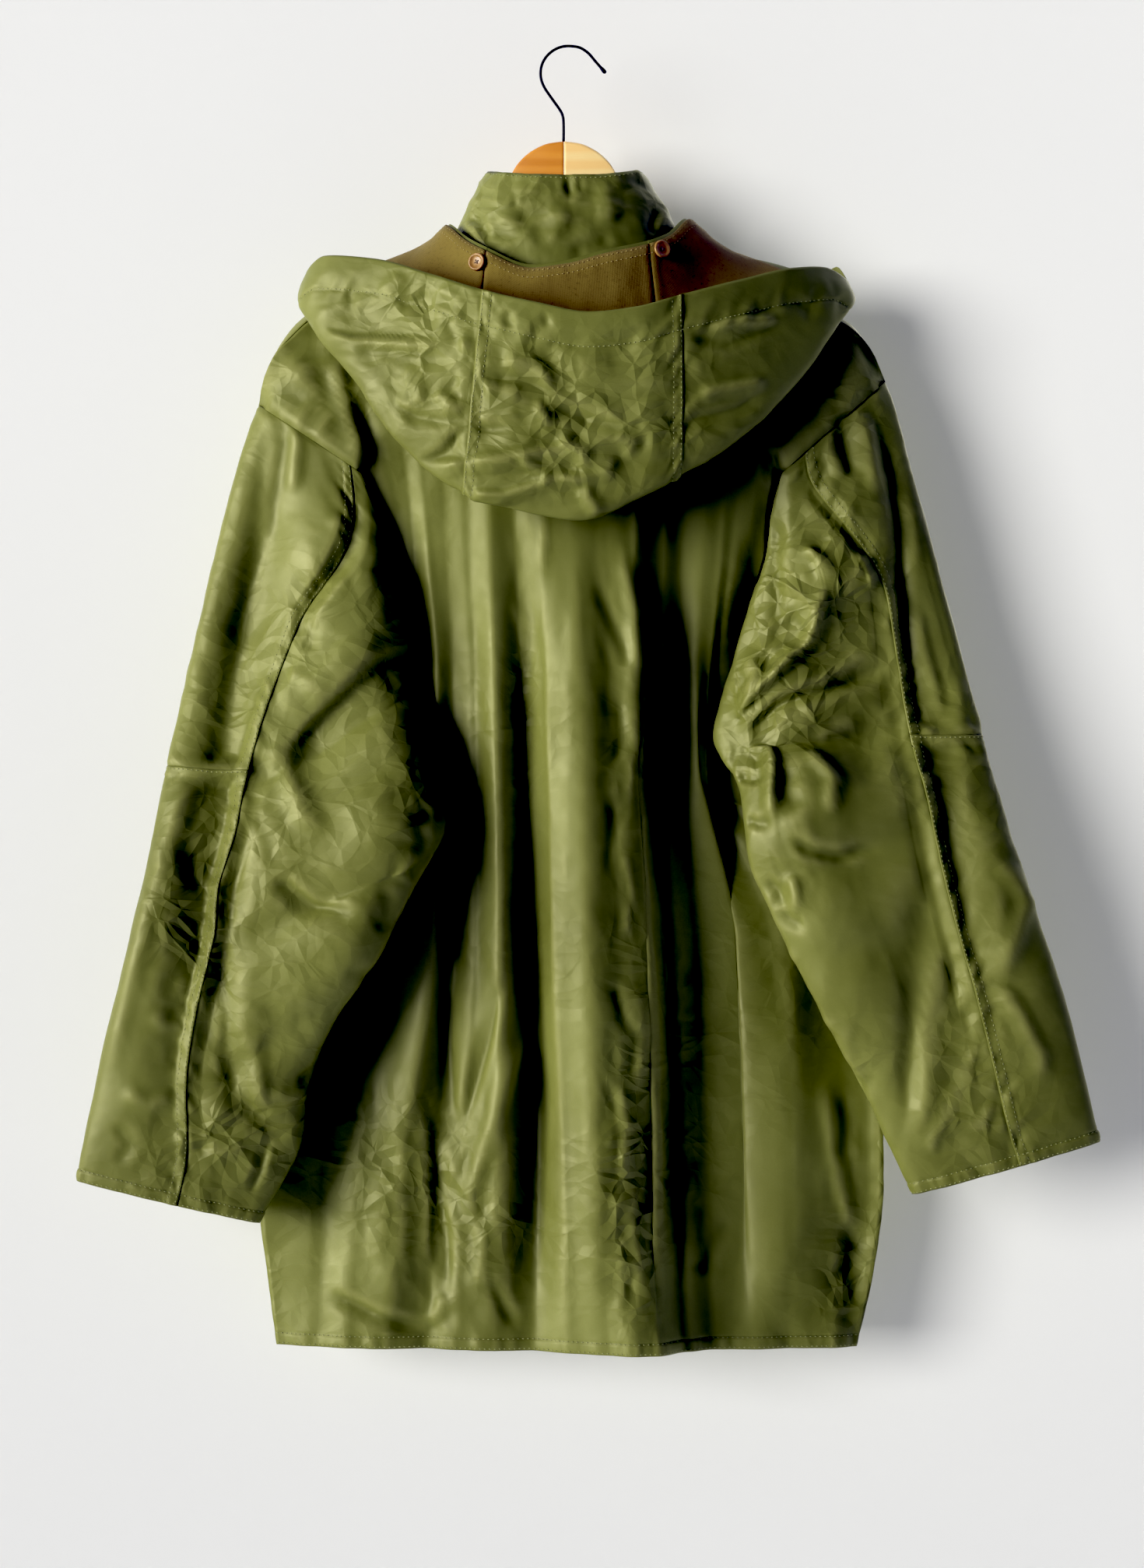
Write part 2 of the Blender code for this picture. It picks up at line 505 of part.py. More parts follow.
def material(name, colour, rough, metal=0.0):
    m = bpy.data.materials.new(name)
    m.use_nodes = True
    b = m.node_tree.nodes["Principled BSDF"]
    b.inputs["Base Color"].default_value = (*colour, 1)
    b.inputs["Roughness"].default_value = rough
    b.inputs["Metallic"].default_value = metal
    m.diffuse_color = (*colour, 1)
    return m


SHELL = material("shell_cloth", (0.155, 0.178, 0.036), 0.45)
CANVAS = material("lining_canvas", (0.150, 0.100, 0.024), 0.85)
BUTTON = material("button_horn", (0.42, 0.22, 0.05), 0.4)
WOOD = material("hanger_wood", (0.60, 0.27, 0.07), 0.45)
WIRE = material("hook_wire", (0.012, 0.011, 0.010), 0.35, 0.8)


# ------------------------------------------------------------------ hanger
# half outline, from the joint at the middle to the tip: x, top, bottom, thick
ARM = table("x top bottom thick", [
    (0.15, -74.0, -164, 12), (12, -75.6, -164, 12), (24, -80.8, -165, 12), (34, -89.0, -167, 12), (41, -99.6, -169, 12),
    (45, -112, -171, 12), (52, -127, -175, 12), (66, -150, -184, 12), (84, -167, -196, 12), (104, -179, -206, 12),
    (130, -188.5, -215, 12), (156, -201, -226, 11.5), (182, -214, -236, 11), (200, -226, -243, 10), (211, -236, -246, 8),
    (216, -241, -245, 4)])
HANGER_MID = -5.7


def hanger_arm(name, sign):
    corner = [(math.cos(a), math.sin(a)) for a in (np.arange(12) + 0.5) * math.pi / 6]
    rings = []
    for k in range(len(ARM["x"])):
        zt, zb, th = ARM["top"][k], ARM["bottom"][k], ARM["thick"][k] / 2
        zm, hz = (zt + zb) / 2, (zt - zb) / 2
        r = min(3.0, hz * 0.9, th * 0.9)
        ring = []
        for c, s in corner:
            ring.append((HANGER_MID + sign * ARM["x"][k], np.sign(c) * (th - r) + c * r, zm + np.sign(s) * (hz - r) + s * r))
        rings.append(ring)
    verts = [p for ring in rings for p in ring]
    faces = []
    for i in range(len(rings) - 1):
        for j in range(12):
            a, b = i * 12 + j, i * 12 + (j + 1) % 12
            faces.append((a, b, b + 12, a + 12))
    faces.append(tuple(reversed(range(12))))
    faces.append(tuple((len(rings) - 1) * 12 + j for j in range(12)))
    me = bpy.data.meshes.new(name)
    me.from_pydata([tuple(float(q) * MM for q in p) for p in verts], [], faces)
    if sign < 0:
        me.flip_normals()
    return link(name, me, WOOD)


# hook wire: x z along its middle, and its radius
HOOK = table("x z rad", [
    (-6.0, -73.7, 1.1), (-6.0, -60, 1.1), (-6.6, -54, 1.1), (-8.8, -49, 1.1), (-14.8, -40.5, 1.1), (-20.6, -32, 1.1),
    (-23.4, -25.5, 1.1), (-24.0, -19, 1.1), (-22.6, -12.5, 1.1), (-19.0, -6.6, 1.1), (-13.6, -2.0, 1.1), (-7.0, 0.7, 1.1),
    (0.0, 1.1, 1.1), (7.0, -0.2, 1.1), (13.4, -4.4, 1.1), (18.6, -10.4, 1.1), (22.6, -15.0, 1.1), (24.4, -17.0, 1.5),
    (25.4, -18.2, 1.7), (26.4, -19.4, 1.5), (27.0, -20.2, 0.7)])


def hook():
    """The bent wire: a curve with a round bevel, thicker at its end knob."""
    cu = bpy.data.curves.new("hook", "CURVE")
    cu.dimensions = "3D"
    cu.bevel_depth = 1.1 * MM
    cu.bevel_resolution = 2
    cu.use_fill_caps = True
    sp = cu.splines.new("POLY")
    sp.points.add(len(HOOK["x"]) - 1)
    for k, pt in enumerate(sp.points):
        pt.co = (HOOK["x"][k] * MM, 0.0, HOOK["z"][k] * MM, 1.0)
        pt.radius = HOOK["rad"][k] / 1.1
    return link("hook", cu, WIRE)


# profile of a button from the middle of its top to the middle of its back: radius, height
BUTTON_PROFILE = [(0.0, 1.7), (4.6, 1.8), (5.2, 2.3), (6.0, 2.6), (6.7, 2.3), (7.0, 1.5), (6.8, 0.7), (5.6, 0.0), (0.0, 0.0)]


def button(name, t, s, lift):
    """A round button lying on the hood's neck edge at (t, s)."""
    e = 0.02
    p = hood_point(np.array([t]), np.array([s]))[0]
    du = hood_point(np.array([t + e]), np.array([s]))[0] - p
    dv = hood_point(np.array([t]), np.array([s + e]))[0] - p
    u = du / np.linalg.norm(du)
    nrm = np.cross(u, dv)
    nrm = nrm / np.linalg.norm(nrm)
    if nrm[1] > 0:
        nrm = -nrm
    w = np.cross(nrm, u)
    base = p + nrm * lift
    me = bpy.data.meshes.new(name)
    me.from_pydata([(r * MM, 0.0, h * MM) for r, h in BUTTON_PROFILE], [(k, k + 1) for k in range(len(BUTTON_PROFILE) - 1)], [])
    ob = link(name, me, BUTTON)
    ob.matrix_world = Matrix([[u[k], w[k], nrm[k], base[k] * MM] for k in range(3)] + [[0, 0, 0, 1]])
    turn = ob.modifiers.new("turned", "SCREW")
    turn.axis = "Z"
    turn.steps = 20
    turn.render_steps = 20
    turn.use_merge_vertices = True
    turn.merge_threshold = 0.00001
    turn.use_smooth_shade = True
    return ob


# -------------------------------------------------------------------- build
hook()
hanger_arm("hanger_arm_left", -1)
hanger_arm("hanger_arm_right", 1)

n_folds = len(FOLDS["x0"])
v_back = np.array(BACK_V + [0.30, 0.35, 0.43, 0.53, 0.65, 0.77, 0.89, 1.0])[:, None]
c_back = np.concatenate([[0, 0.5], np.arange(1, n_folds, 0.5), [n_folds, n_folds + 0.5, n_folds + 1]])[None, :]
g = back_grid(v_back, c_back)
cloth("back_panel", trim(g, top=CORNER, first=CORNER, last=CORNER), WALL, SHELL)

v_front = np.array(FRONT_V + [0.30, 0.37, 0.5, 0.65, 0.82, 1.0])[:, None]
c_front = np.array([0, 0.05, 0.1, 0.17, 0.26, 0.38, 0.5, 0.62, 0.72, 0.81, 0.9, 1.0])[None, :]
fronts = {}
for side in ("left", "right"):
    g = front_grid(side, v_front, c_front)
    if side == "right":
        g = g[:, ::-1]
        g = trim(g, top=CORNER, first=SEAM, last=CORNER)
    else:
        g = trim(g, top=CORNER, first=CORNER, last=SEAM)
    fronts[side] = g
    cloth("front_" + side, g, WALL, SHELL)

# placket: a strip lying on the left front, made from its points, moved out
strip = front_grid("left", v_front[4:], np.array([0.81, 0.90, 0.995])[None, :])
out = normals(strip)
out = out * np.sign(out[..., 1:2])
cloth("front_placket", strip + out * 2.4, WALL, SHELL)

cloth("collar", trim(collar_grid(4, 29), bottom=0.5), COLLAR_WALL, SHELL)

for side in ("left", "right"):
    for which in ("outer_upper", "outer_lower", "under"):
        g = sleeve_piece(side, which, stations(side, which), columns(side, which))
        top = {"outer_upper": CORNER, "outer_lower": SEAM, "under": CORNER}[which]
        bottom = {"outer_upper": SEAM, "outer_lower": 0.0, "under": 0.0}[which]
        g = trim(g, top=top, bottom=bottom, first=SEAM, last=SEAM)
        cloth("sleeve_%s_%s" % (side, which), g, WALL, SHELL)

HOOD_ROWS = [0, 0.05, 0.14, 0.24, 0.33, 0.41, 0.47, 0.53, 0.6, 0.7, 0.83, 0.965, 1.0]
for which, cols in (("left", 11), ("centre", 7), ("right", 11)):
    g = hood_piece(which, HOOD_ROWS, cols)
    first, last = (0.0 if which == "left" else SEAM), (0.0 if which == "right" else SEAM)
    cloth("hood_" + which, trim(g, first=first, last=last), WALL, SHELL)
    g = hood_piece(which, HOOD_ROWS, cols, off=2.2)
    cloth("hood_lining_" + which, trim(g, first=(first or 2.0) + 0.4, last=(last or 2.0) + 0.4), LINING_WALL, CANVAS)

button("hood_button_left", -0.34, 0.02, 3.4)
button("hood_button_right", 0.36, 0.015, 3.4)
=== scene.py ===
"""Looks of the hooded parka on its wooden hanger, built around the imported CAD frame.

Lengths in the tables are millimetres, in the CAD's frame: origin at the inner
top of the hook, +Z up, -Y the garment's back, +X the wearer's right.
The surfaces are the CAD's own (the same tables), evaluated finely; creases,
crumples, puckers, hems and stitches are laid on them as real relief.
"""
import json
import math

import bpy
import numpy as np
from mathutils import Matrix, Vector

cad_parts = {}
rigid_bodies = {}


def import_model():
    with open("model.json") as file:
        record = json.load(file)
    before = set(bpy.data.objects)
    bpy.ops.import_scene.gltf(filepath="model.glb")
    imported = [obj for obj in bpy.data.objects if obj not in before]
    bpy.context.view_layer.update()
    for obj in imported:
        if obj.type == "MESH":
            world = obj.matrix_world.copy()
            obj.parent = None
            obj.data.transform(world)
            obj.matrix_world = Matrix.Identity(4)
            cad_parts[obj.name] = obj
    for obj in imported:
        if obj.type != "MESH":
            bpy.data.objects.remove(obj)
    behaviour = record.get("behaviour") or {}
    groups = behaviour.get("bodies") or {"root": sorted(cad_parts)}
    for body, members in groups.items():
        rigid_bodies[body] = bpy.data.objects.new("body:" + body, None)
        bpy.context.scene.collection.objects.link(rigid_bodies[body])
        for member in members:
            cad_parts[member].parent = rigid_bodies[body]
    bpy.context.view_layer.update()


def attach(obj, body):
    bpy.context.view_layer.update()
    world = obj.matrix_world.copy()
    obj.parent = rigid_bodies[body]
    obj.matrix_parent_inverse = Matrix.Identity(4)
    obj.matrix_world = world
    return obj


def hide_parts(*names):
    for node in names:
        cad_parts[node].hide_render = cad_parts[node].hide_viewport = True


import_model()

MM = 0.001
CORNER = 0.9
FACE = 0.85
SEAM = 0.35


# ------------------------------------------------------------------ helpers
def spline(t, T, V):
    """Monotone cubic through (T, V); t any array."""
    T = np.asarray(T, float)
    V = np.asarray(V, float)
    t = np.clip(np.asarray(t, float), T[0], T[-1])
    h = np.diff(T)
    d = np.diff(V) / h
    m = np.zeros(len(T))
    if len(T) > 2:
        for i in range(1, len(T) - 1):
            if d[i - 1] * d[i] > 0:
                w1 = 2 * h[i] + h[i - 1]
                w2 = h[i] + 2 * h[i - 1]
                m[i] = (w1 + w2) / (w1 / d[i - 1] + w2 / d[i])
    m[0] = d[0]
    m[-1] = d[-1]
    i = np.clip(np.searchsorted(T, t, side="right") - 1, 0, len(T) - 2)
    s = (t - T[i]) / h[i]
    return ((1 + 2 * s) * (1 - s) ** 2 * V[i] + s * (1 - s) ** 2 * h[i] * m[i]
            + s * s * (3 - 2 * s) * V[i + 1] + s * s * (s - 1) * h[i] * m[i + 1])


def table(names, rows):
    a = np.array([list(r) for r in rows], float)
    return {n: a[:, k] for k, n in enumerate(names.split())}


def at(tab, key, t, col):
    return spline(t, tab[key], tab[col])


def smooth(f):
    f = np.clip(f, 0, 1)
    return f * f * (3 - 2 * f)


# ------------------------------------------------------------------ sleeves
# one row per ring: edges of the sleeve as it hangs (outer x z y, inner x z y),
# how far its back and front faces stand out, and where the back seam runs
# (as a part of half a turn from the outer edge)
RING = "r xo zo yo xi zi yi back front seam"
SLEEVE = {
    "left": table(RING, [
        (0, -244.8, -281.5, -2, -157.2, -340.1, -26, 15, 31, 0.73),
        (1, -258.9, -323.0, -4, -148.5, -375.8, -18, 20, 31, 0.66),
        (2, -274.3, -384.2, -8, -136.1, -420.9, -12, 25, 29, 0.56),
        (3, -288.5, -445.2, -12, -128.4, -472.4, -7, 28, 25, 0.48),
        (4, -301.3, -503.1, -18, -123.8, -512.1, -14, 28, 19, 0.43),
        (5, -310.9, -554.7, -30, -109.9, -563.8, -30, 26, 15, 0.38),
        (6, -319.2, -599.9, -42, -100.9, -605.9, -44, 24, 15, 0.36),
        (7, -327.8, -644.9, -46, -127.2, -650.8, -48, 24, 17, 0.36),
        (8, -338.3, -692.8, -48, -150.6, -695.8, -48, 24, 18, 0.395),
        (9, -351.8, -747.0, -46, -181.2, -748.0, -48, 23, 18, 0.42),
        (10, -364.9, -801.3, -42, -201.8, -804.1, -44, 21, 17, 0.45),
        (11, -375.6, -849.8, -38, -210.5, -855.6, -40, 19, 16, 0.49),
        (12, -381.6, -883.9, -34, -241.0, -916.2, -36, 17, 15, 0.53)]),
    "right": table(RING, [
        (0, 246.3, -263.1, -2, 158.4, -341.3, -26, 15, 31, 0.65),
        (1, 259.5, -307.8, -4, 155.8, -363.7, -18, 20, 31, 0.525),
        (2, 275.6, -366.0, -8, 153.1, -396.6, -12, 25, 29, 0.43),
        (3, 292.2, -430.1, -12, 141.1, -435.9, -8, 28, 25, 0.375),
        (4, 306.7, -487.9, -18, 128.3, -484.7, -10, 28, 21, 0.365),
        (5, 319.0, -539.6, -28, 112.2, -539.4, -16, 26, 16, 0.35),
        (6, 331.5, -587.9, -40, 130.7, -577.7, -36, 24, 15, 0.36),
        (7, 345.8, -635.9, -46, 140.4, -632.9, -48, 24, 17, 0.37),
        (8, 363.6, -692.8, -48, 160.8, -677.8, -48, 24, 18, 0.39),
        (9, 380.6, -744.0, -46, 186.7, -725.9, -46, 23, 18, 0.41),
        (10, 394.4, -795.3, -42, 215.2, -784.5, -42, 21, 17, 0.43),
        (11, 403.4, -834.7, -38, 241.4, -846.8, -38, 19, 16, 0.445),
        (12, 408.1, -853.8, -34, 264.7, -894.2, -34, 17, 15, 0.455)])}
# armhole: which ring it lies on, by half turns round from the outer edge
ARMHOLE = {
    "left": table("turn ring", [(0, 0), (0.84, 0), (0.90, 0.4), (0.95, 0.9), (1.0, 1.5), (1.06, 2.3), (1.12, 2.9),
                                (1.18, 3.35), (1.28, 2.8), (1.40, 2.0), (1.55, 1.2), (1.72, 0.6), (1.88, 0.2),
                                (2.0, 0)]),
    "right": table("turn ring", [(0, 0), (0.84, 0), (0.90, 0.5), (0.95, 1.2), (1.0, 2.1), (1.06, 3.1), (1.12, 3.8),
                                 (1.18, 4.2), (1.30, 3.6), (1.42, 2.7), (1.55, 1.8), (1.72, 0.8), (1.88, 0.25),
                                 (2.0, 0)])}
ELBOW = {"left": 5.2, "right": 5.0}
# large creases: ring and turn at each end, depth (in is minus), width in rings
CREASE = {
    "left": [(3.6, 0.98, 5.3, 0.42, -9, 0.33), (3.0, 0.95, 4.4, 0.35, 5, 0.4), (6.3, 0.98, 8.0, 0.5, -6, 0.4),
             (6.9, 0.35, 6.2, 0.0, -5, 0.35), (8.6, 0.98, 9.9, 0.55, -4, 0.35), (1.6, 0.9, 2.9, 0.3, -4, 0.4),
             (4.2, 1.3, 6.0, 1.8, -5, 0.4), (7.0, 1.2, 8.3, 1.7, -4, 0.4)],
    "right": [(5.6, 0.98, 5.0, 0.4, -8, 0.33), (6.7, 0.96, 5.9, 0.35, 5, 0.4), (7.5, 0.98, 6.9, 0.45, -5, 0.35),
              (3.4, 0.9, 4.4, 0.3, -5, 0.4), (8.8, 0.96, 8.2, 0.5, -4, 0.35), (1.5, 0.9, 2.6, 0.35, -4, 0.4),
              (4.4, 1.3, 6.0, 1.8, -5, 0.4), (7.0, 1.2, 8.3, 1.7, -4, 0.4)]}


def tube(side, r, turn):
    """Point on the sleeve: ring r (0 shoulder .. 12 cuff), turn in half turns."""
    tab = SLEEVE[side]
    g = {c: at(tab, "r", r, c) for c in RING.split()[1:]}
    phi = np.asarray(turn, float) * math.pi
    s, c = np.sin(phi), np.cos(phi)
    f = (1 - c) / 2
    puff = np.where(s > 0, -g["back"], g["front"]) * np.abs(s) ** 0.85
    for r1, t1, r2, t2, depth, wide in CREASE[side]:
        along = np.clip((np.asarray(turn) - t1) / (t2 - t1), -0.3, 1.3)
        off = (r - (r1 + (r2 - r1) * along)) / wide
        fade = smooth((along + 0.3) / 0.35) * smooth((1.3 - along) / 0.5)
        puff = puff - depth * np.exp(-off * off) * fade * np.abs(s) ** 1.1 * np.sign(s)
    x = g["xo"] + (g["xi"] - g["xo"]) * f
    z = g["zo"] + (g["zi"] - g["zo"]) * f
    y = g["yo"] + (g["yi"] - g["yo"]) * f + puff
    return np.stack([x, y, z], -1)


BLEND = 7.0            # rings above this one lean towards the armhole


def stations(side, which):
    top = np.linspace(0, ELBOW[side], 8)
    low = np.concatenate([[ELBOW[side]], np.arange(6, 13)])
    return {"outer_upper": top, "outer_lower": low, "under": np.concatenate([top, low[1:]])}[which]


OUTER_TURNS = [-0.5, -0.32, -0.15, 0.0, 0.2, 0.4, 0.56]           # and the back seam
UNDER_TURNS = [0.80, 0.87, 0.93, 0.99, 1.05, 1.11, 1.18, 1.26, 1.34, 1.42, 1.5]


def columns(side, which):
    """Where a piece's columns start on the armhole, as parts of its width."""
    top = SLEEVE[side]["seam"][0]
    if which == "under":
        return (np.array([top] + UNDER_TURNS) - top) / (1.5 - top)
    return (np.array(OUTER_TURNS + [top]) + 0.5) / (top + 0.5)


def sleeve_piece(side, which, rings, cols):
    """A sleeve piece over the given rings; every column starts on the armhole."""
    tab = SLEEVE[side]
    base, w = np.broadcast_arrays(np.asarray(rings, float)[:, None], np.asarray(cols, float)[None, :])
    r = base.copy()
    for _ in range(40):
        seam = at(tab, "r", r, "seam")
        turn = seam + (1.5 - seam) * w if which == "under" else -0.5 + (seam + 0.5) * w
        top = tab["seam"][0]
        turn0 = top + (1.5 - top) * w if which == "under" else -0.5 + (top + 0.5) * w
        hole = spline(np.mod(turn0, 2.0), ARMHOLE[side]["turn"], ARMHOLE[side]["ring"])
        r = np.where(base < BLEND, hole + (BLEND - hole) * base / BLEND, base)
        ease = smooth(base / 3.0)
        turn = turn0 * (1 - ease) + turn * ease
    return tube(side, r, np.mod(turn, 2.0))


# ------------------------------------------------------------------- body
P_TURN = 1.18          # where the underarm point lies round the sleeve
# side seam below the armhole: v down the panel, x y z
SIDE = {
    "left": table("v x y z", [(0.26, 0, 0, 0), (0.30, -146, 9, -516), (0.34, -176, 14, -548), (0.40, -208, 14, -600),
                              (0.46, -226, 12, -652), (0.52, -236, 10, -700), (0.68, -244, 7, -806),
                              (0.82, -246, 5, -898), (0.92, -239, 5, -962), (1.0, -231.7, 5, -1016.5)]),
    "right": table("v x y z", [(0.26, 0, 0, 0), (0.30, 138, 9, -573), (0.34, 166, 14, -600), (0.40, 196, 14, -640),
                               (0.46, 218, 12, -676), (0.52, 234, 10, -716), (0.68, 246, 7, -812),
                               (0.82, 246, 5, -892), (0.92, 238, 5, -960), (1.0, 224.5, 5, -1018.0)])}


def armhole(side, turn):
    ring = spline(turn, ARMHOLE[side]["turn"], ARMHOLE[side]["ring"])
    return tube(side, ring, turn)


for _s in SIDE:
    _p = armhole(_s, np.array([P_TURN]))[0]
    for _k, _n in enumerate("xyz"):
        SIDE[_s][_n][0] = _p[_k]


# rows of the panels down to the underarm point, level with the sleeve's columns
BACK_V = [0, 0.03, 0.06, 0.09, 0.105, 0.12, 0.135, 0.15, 0.17, 0.19, 0.22, 0.26]
FRONT_V = [0, 0.02, 0.04, 0.075, 0.12, 0.17, 0.22, 0.26]


def body_edge(side, v, face):
    """Outer boundary of a body panel, v = 0 at the shoulder end."""
    v = np.asarray(v, float)
    if face == "back":
        turn = spline(v, BACK_V, [0, 0.2, 0.4, 0.56, SLEEVE[side]["seam"][0]] + UNDER_TURNS[:7])
    else:
        turn = spline(v, FRONT_V, [2.0, 1.95, 1.90, 1.85, 1.68, 1.5, 1.34, 1.18])
    hole = armhole(side, turn)
    low = np.stack([at(SIDE[side], "v", np.maximum(v, 0.26), c) for c in "xyz"], -1)
    edge = np.where((v < 0.26)[..., None], hole, low)
    if face == "back":
        edge[..., 1] += spline(v, [0, 0.11, 0.15, 0.26, 0.30, 0.35, 1], [-FACE, -FACE, 2.4, 3.2, 1.6, -FACE, -FACE])
    else:
        edge[..., 1] += spline(v, [0, 0.10, 0.20, 0.26, 0.30, 0.36, 1], [FACE, FACE, 3.5, 9.5, 7.0, FACE, FACE])
    return edge


def inner_edge(side, z):
    """Fold edge of a sleeve on the body's side at height z: x and y."""
    tab = SLEEVE[side]
    zi, xi, yi = tab["zi"][::-1], tab["xi"][::-1], tab["yi"][::-1]
    return spline(z, zi, xi), spline(z, zi, yi)


# shoulder seam and neck line, left to right: x y z of the back, and how far
# the ridge of the shoulder stands above the seam
TOP = table("x y z lift", [
    (-244.8, -2, -281.5, 0), (-240, -5, -262, 6), (-232, -8, -242, 9), (-220, -10, -229, 10), (-204, -10, -214, 9),
    (-180, -9, -201, 7), (-150, -8, -188, 6), (-120, -7, -172, 5), (-98, -8, -161, 3), (-89, -20, -164, 0),
    (-68, -36, -173, 0), (-40, -46, -182, 0), (-3, -49, -186, 0), (34, -46, -180, 0), (60, -36, -171, 0),
    (81, -20, -161, 0), (91, -8, -157, 3), (114, -7, -168, 5), (146, -8, -186, 6), (178, -9, -200, 7),
    (206, -10, -214, 8), (224, -10, -226, 8), (236, -7, -240, 6), (246.3, -2, -263.1, 0)])
# the back's standing folds, left to right: x at the seam, yoke, armhole, waist,
# seat and hem, then how far each stands out (y) at yoke .. hem
FOLDS = table("x0 x1 x2 x3 x4 x5 y1 y2 y3 y4 y5", [
    (-216, -150, -126, -178, -196, -200, -26, 0, 6, 0, -8),
    (-188, -136, -116, -142, -164, -174, -27, -6, -2, -14, -16),
    (-160, -122, -104, -108, -134, -146, -30, -22, -26, -24, -20),
    (-132, -106, -93, -92, -106, -112, -33, -18, -14, -12, -14),
    (-104, -88, -76, -74, -84, -88, -36, -26, -26, -22, -24),
    (-84, -66, -60, -56, -58, -60, -40, -38, -40, -30, -28),
    (-60, -48, -40, -34, -28, -30, -41, -24, -18, -16, -24),
    (-34, -24, -20, -14, -4, 0, -44, -44, -44, -40, -40),
    (-6, 2, 6, 12, 22, 26, -45, -48, -50, -50, -48),
    (22, 26, 30, 38, 42, 46, -45, -43, -46, -50, -56),
    (48, 48, 52, 64, 70, 66, -43, -44, -47, -48, -54),
    (72, 70, 70, 80, 86, 90, -38, -18, -14, -18, -30),
    (100, 90, 84, 98, 104, 110, -34, -4, -2, -10, -16),
    (130, 108, 98, 130, 136, 142, -31, -12, -16, -22, -16),
    (160, 126, 108, 160, 172, 172, -29, -8, 0, -8, -8),
    (192, 142, 114, 196, 206, 204, -27, -2, 7, -6, -6)])
STATIONS = [0, 0.12, 0.26, 0.50, 0.80, 1.0]


def fold_column(k, v):
    """x and y of fold line k at v (arrays alike)."""
    k = np.asarray(k, int)
    n = len(FOLDS["x0"])
    xs = np.zeros(v.shape)
    ys = np.zeros(v.shape)
    for j in range(n):
        m = k == j
        if not m.any():
            continue
        x = [FOLDS["x%d" % i][j] for i in range(6)]
        y = [spline(x[0], TOP["x"], TOP["y"])] + [FOLDS["y%d" % i][j] for i in range(1, 6)]
        xs[m] = spline(v[m], STATIONS, x)
        ys[m] = spline(v[m], STATIONS, y)
    return xs, ys


def drape_z(f, v, left, right, x_top):
    """Height of a row: level below the armholes, lifted to the top line above."""
    zl, zr = TOP["z"][0], TOP["z"][-1]
    fade = np.clip(1 - v / 0.30, 0, 1) ** 1.45
    lift = spline(x_top, TOP["x"], TOP["z"]) - (zl + (zr - zl) * f)
    return left[..., 2] + (right[..., 2] - left[..., 2]) * f + lift * fade


def back_grid(v, c):
    """Back panel. v down, c across in fold-line units (0 .. folds + 1)."""
    v, c = np.broadcast_arrays(v, c)
    n = len(FOLDS["x0"])
    left, right = body_edge("left", v, "back"), body_edge("right", v, "back")
    k0 = np.clip(np.floor(c).astype(int), 0, n)
    f = c - k0
    xa, ya = fold_column(np.clip(k0 - 1, 0, n - 1), v)
    xb, yb = fold_column(np.clip(k0, 0, n - 1), v)
    xa, ya = np.where(k0 == 0, left[..., 0], xa), np.where(k0 == 0, left[..., 1], ya)
    xb, yb = np.where(k0 == n, right[..., 0], xb), np.where(k0 == n, right[..., 1], yb)
    x = xa + (xb - xa) * f
    y = ya + (yb - ya) * (0.7 * smooth(f) + 0.3 * f)
    xt0 = np.concatenate([[TOP["x"][0]], FOLDS["x0"], [TOP["x"][-1]]])
    x_top = xt0[k0] + (xt0[k0 + 1] - xt0[k0]) * f
    part = (x - left[..., 0]) / (right[..., 0] - left[..., 0])
    z = drape_z(part, v, left, right, x_top)
    on_top = smooth(1 - v / 0.03)
    y = y * (1 - on_top) + on_top * (spline(x_top, TOP["x"], TOP["y"]) - FACE)
    # tuck the panel behind the sleeves' fold edges
    for side, sg in (("left", -1), ("right", 1)):
        xe, ye = inner_edge(side, z)
        near = smooth(1 - (xe - x) * sg / 16) * smooth((v - 0.115) / 0.03) * (z > SLEEVE[side]["zi"][5])
        under = np.clip(-(xe - x) * sg, 0, 40) / 170
        low = ye + 3.5 + 23 * (2 * np.sqrt(under)) ** 0.85
        y = np.where(y < low, y + (low - y) * near, y)
    return np.stack([x, y, z], -1)


CENTRE_X = -3.0
# neck line of the front, from the neck's side to the middle: part across, x y z
NECK_FRONT = table("f x y z", [(0, 0.94, -6, -160), (0.35, 0.78, 27, -160.5), (0.7, 0.42, 46, -170), (1.0, 0.0, 52, -177)])
FRONT_Y = table("c near mid low hem", [(0, 0, 0, 0, 0), (0.15, 17, 16, 15, 13), (0.35, 25, 22, 24, 20),
                                       (0.6, 33, 29, 27, 30), (0.8, 30, 32, 33, 26), (1.0, 34, 34, 33, 31)])


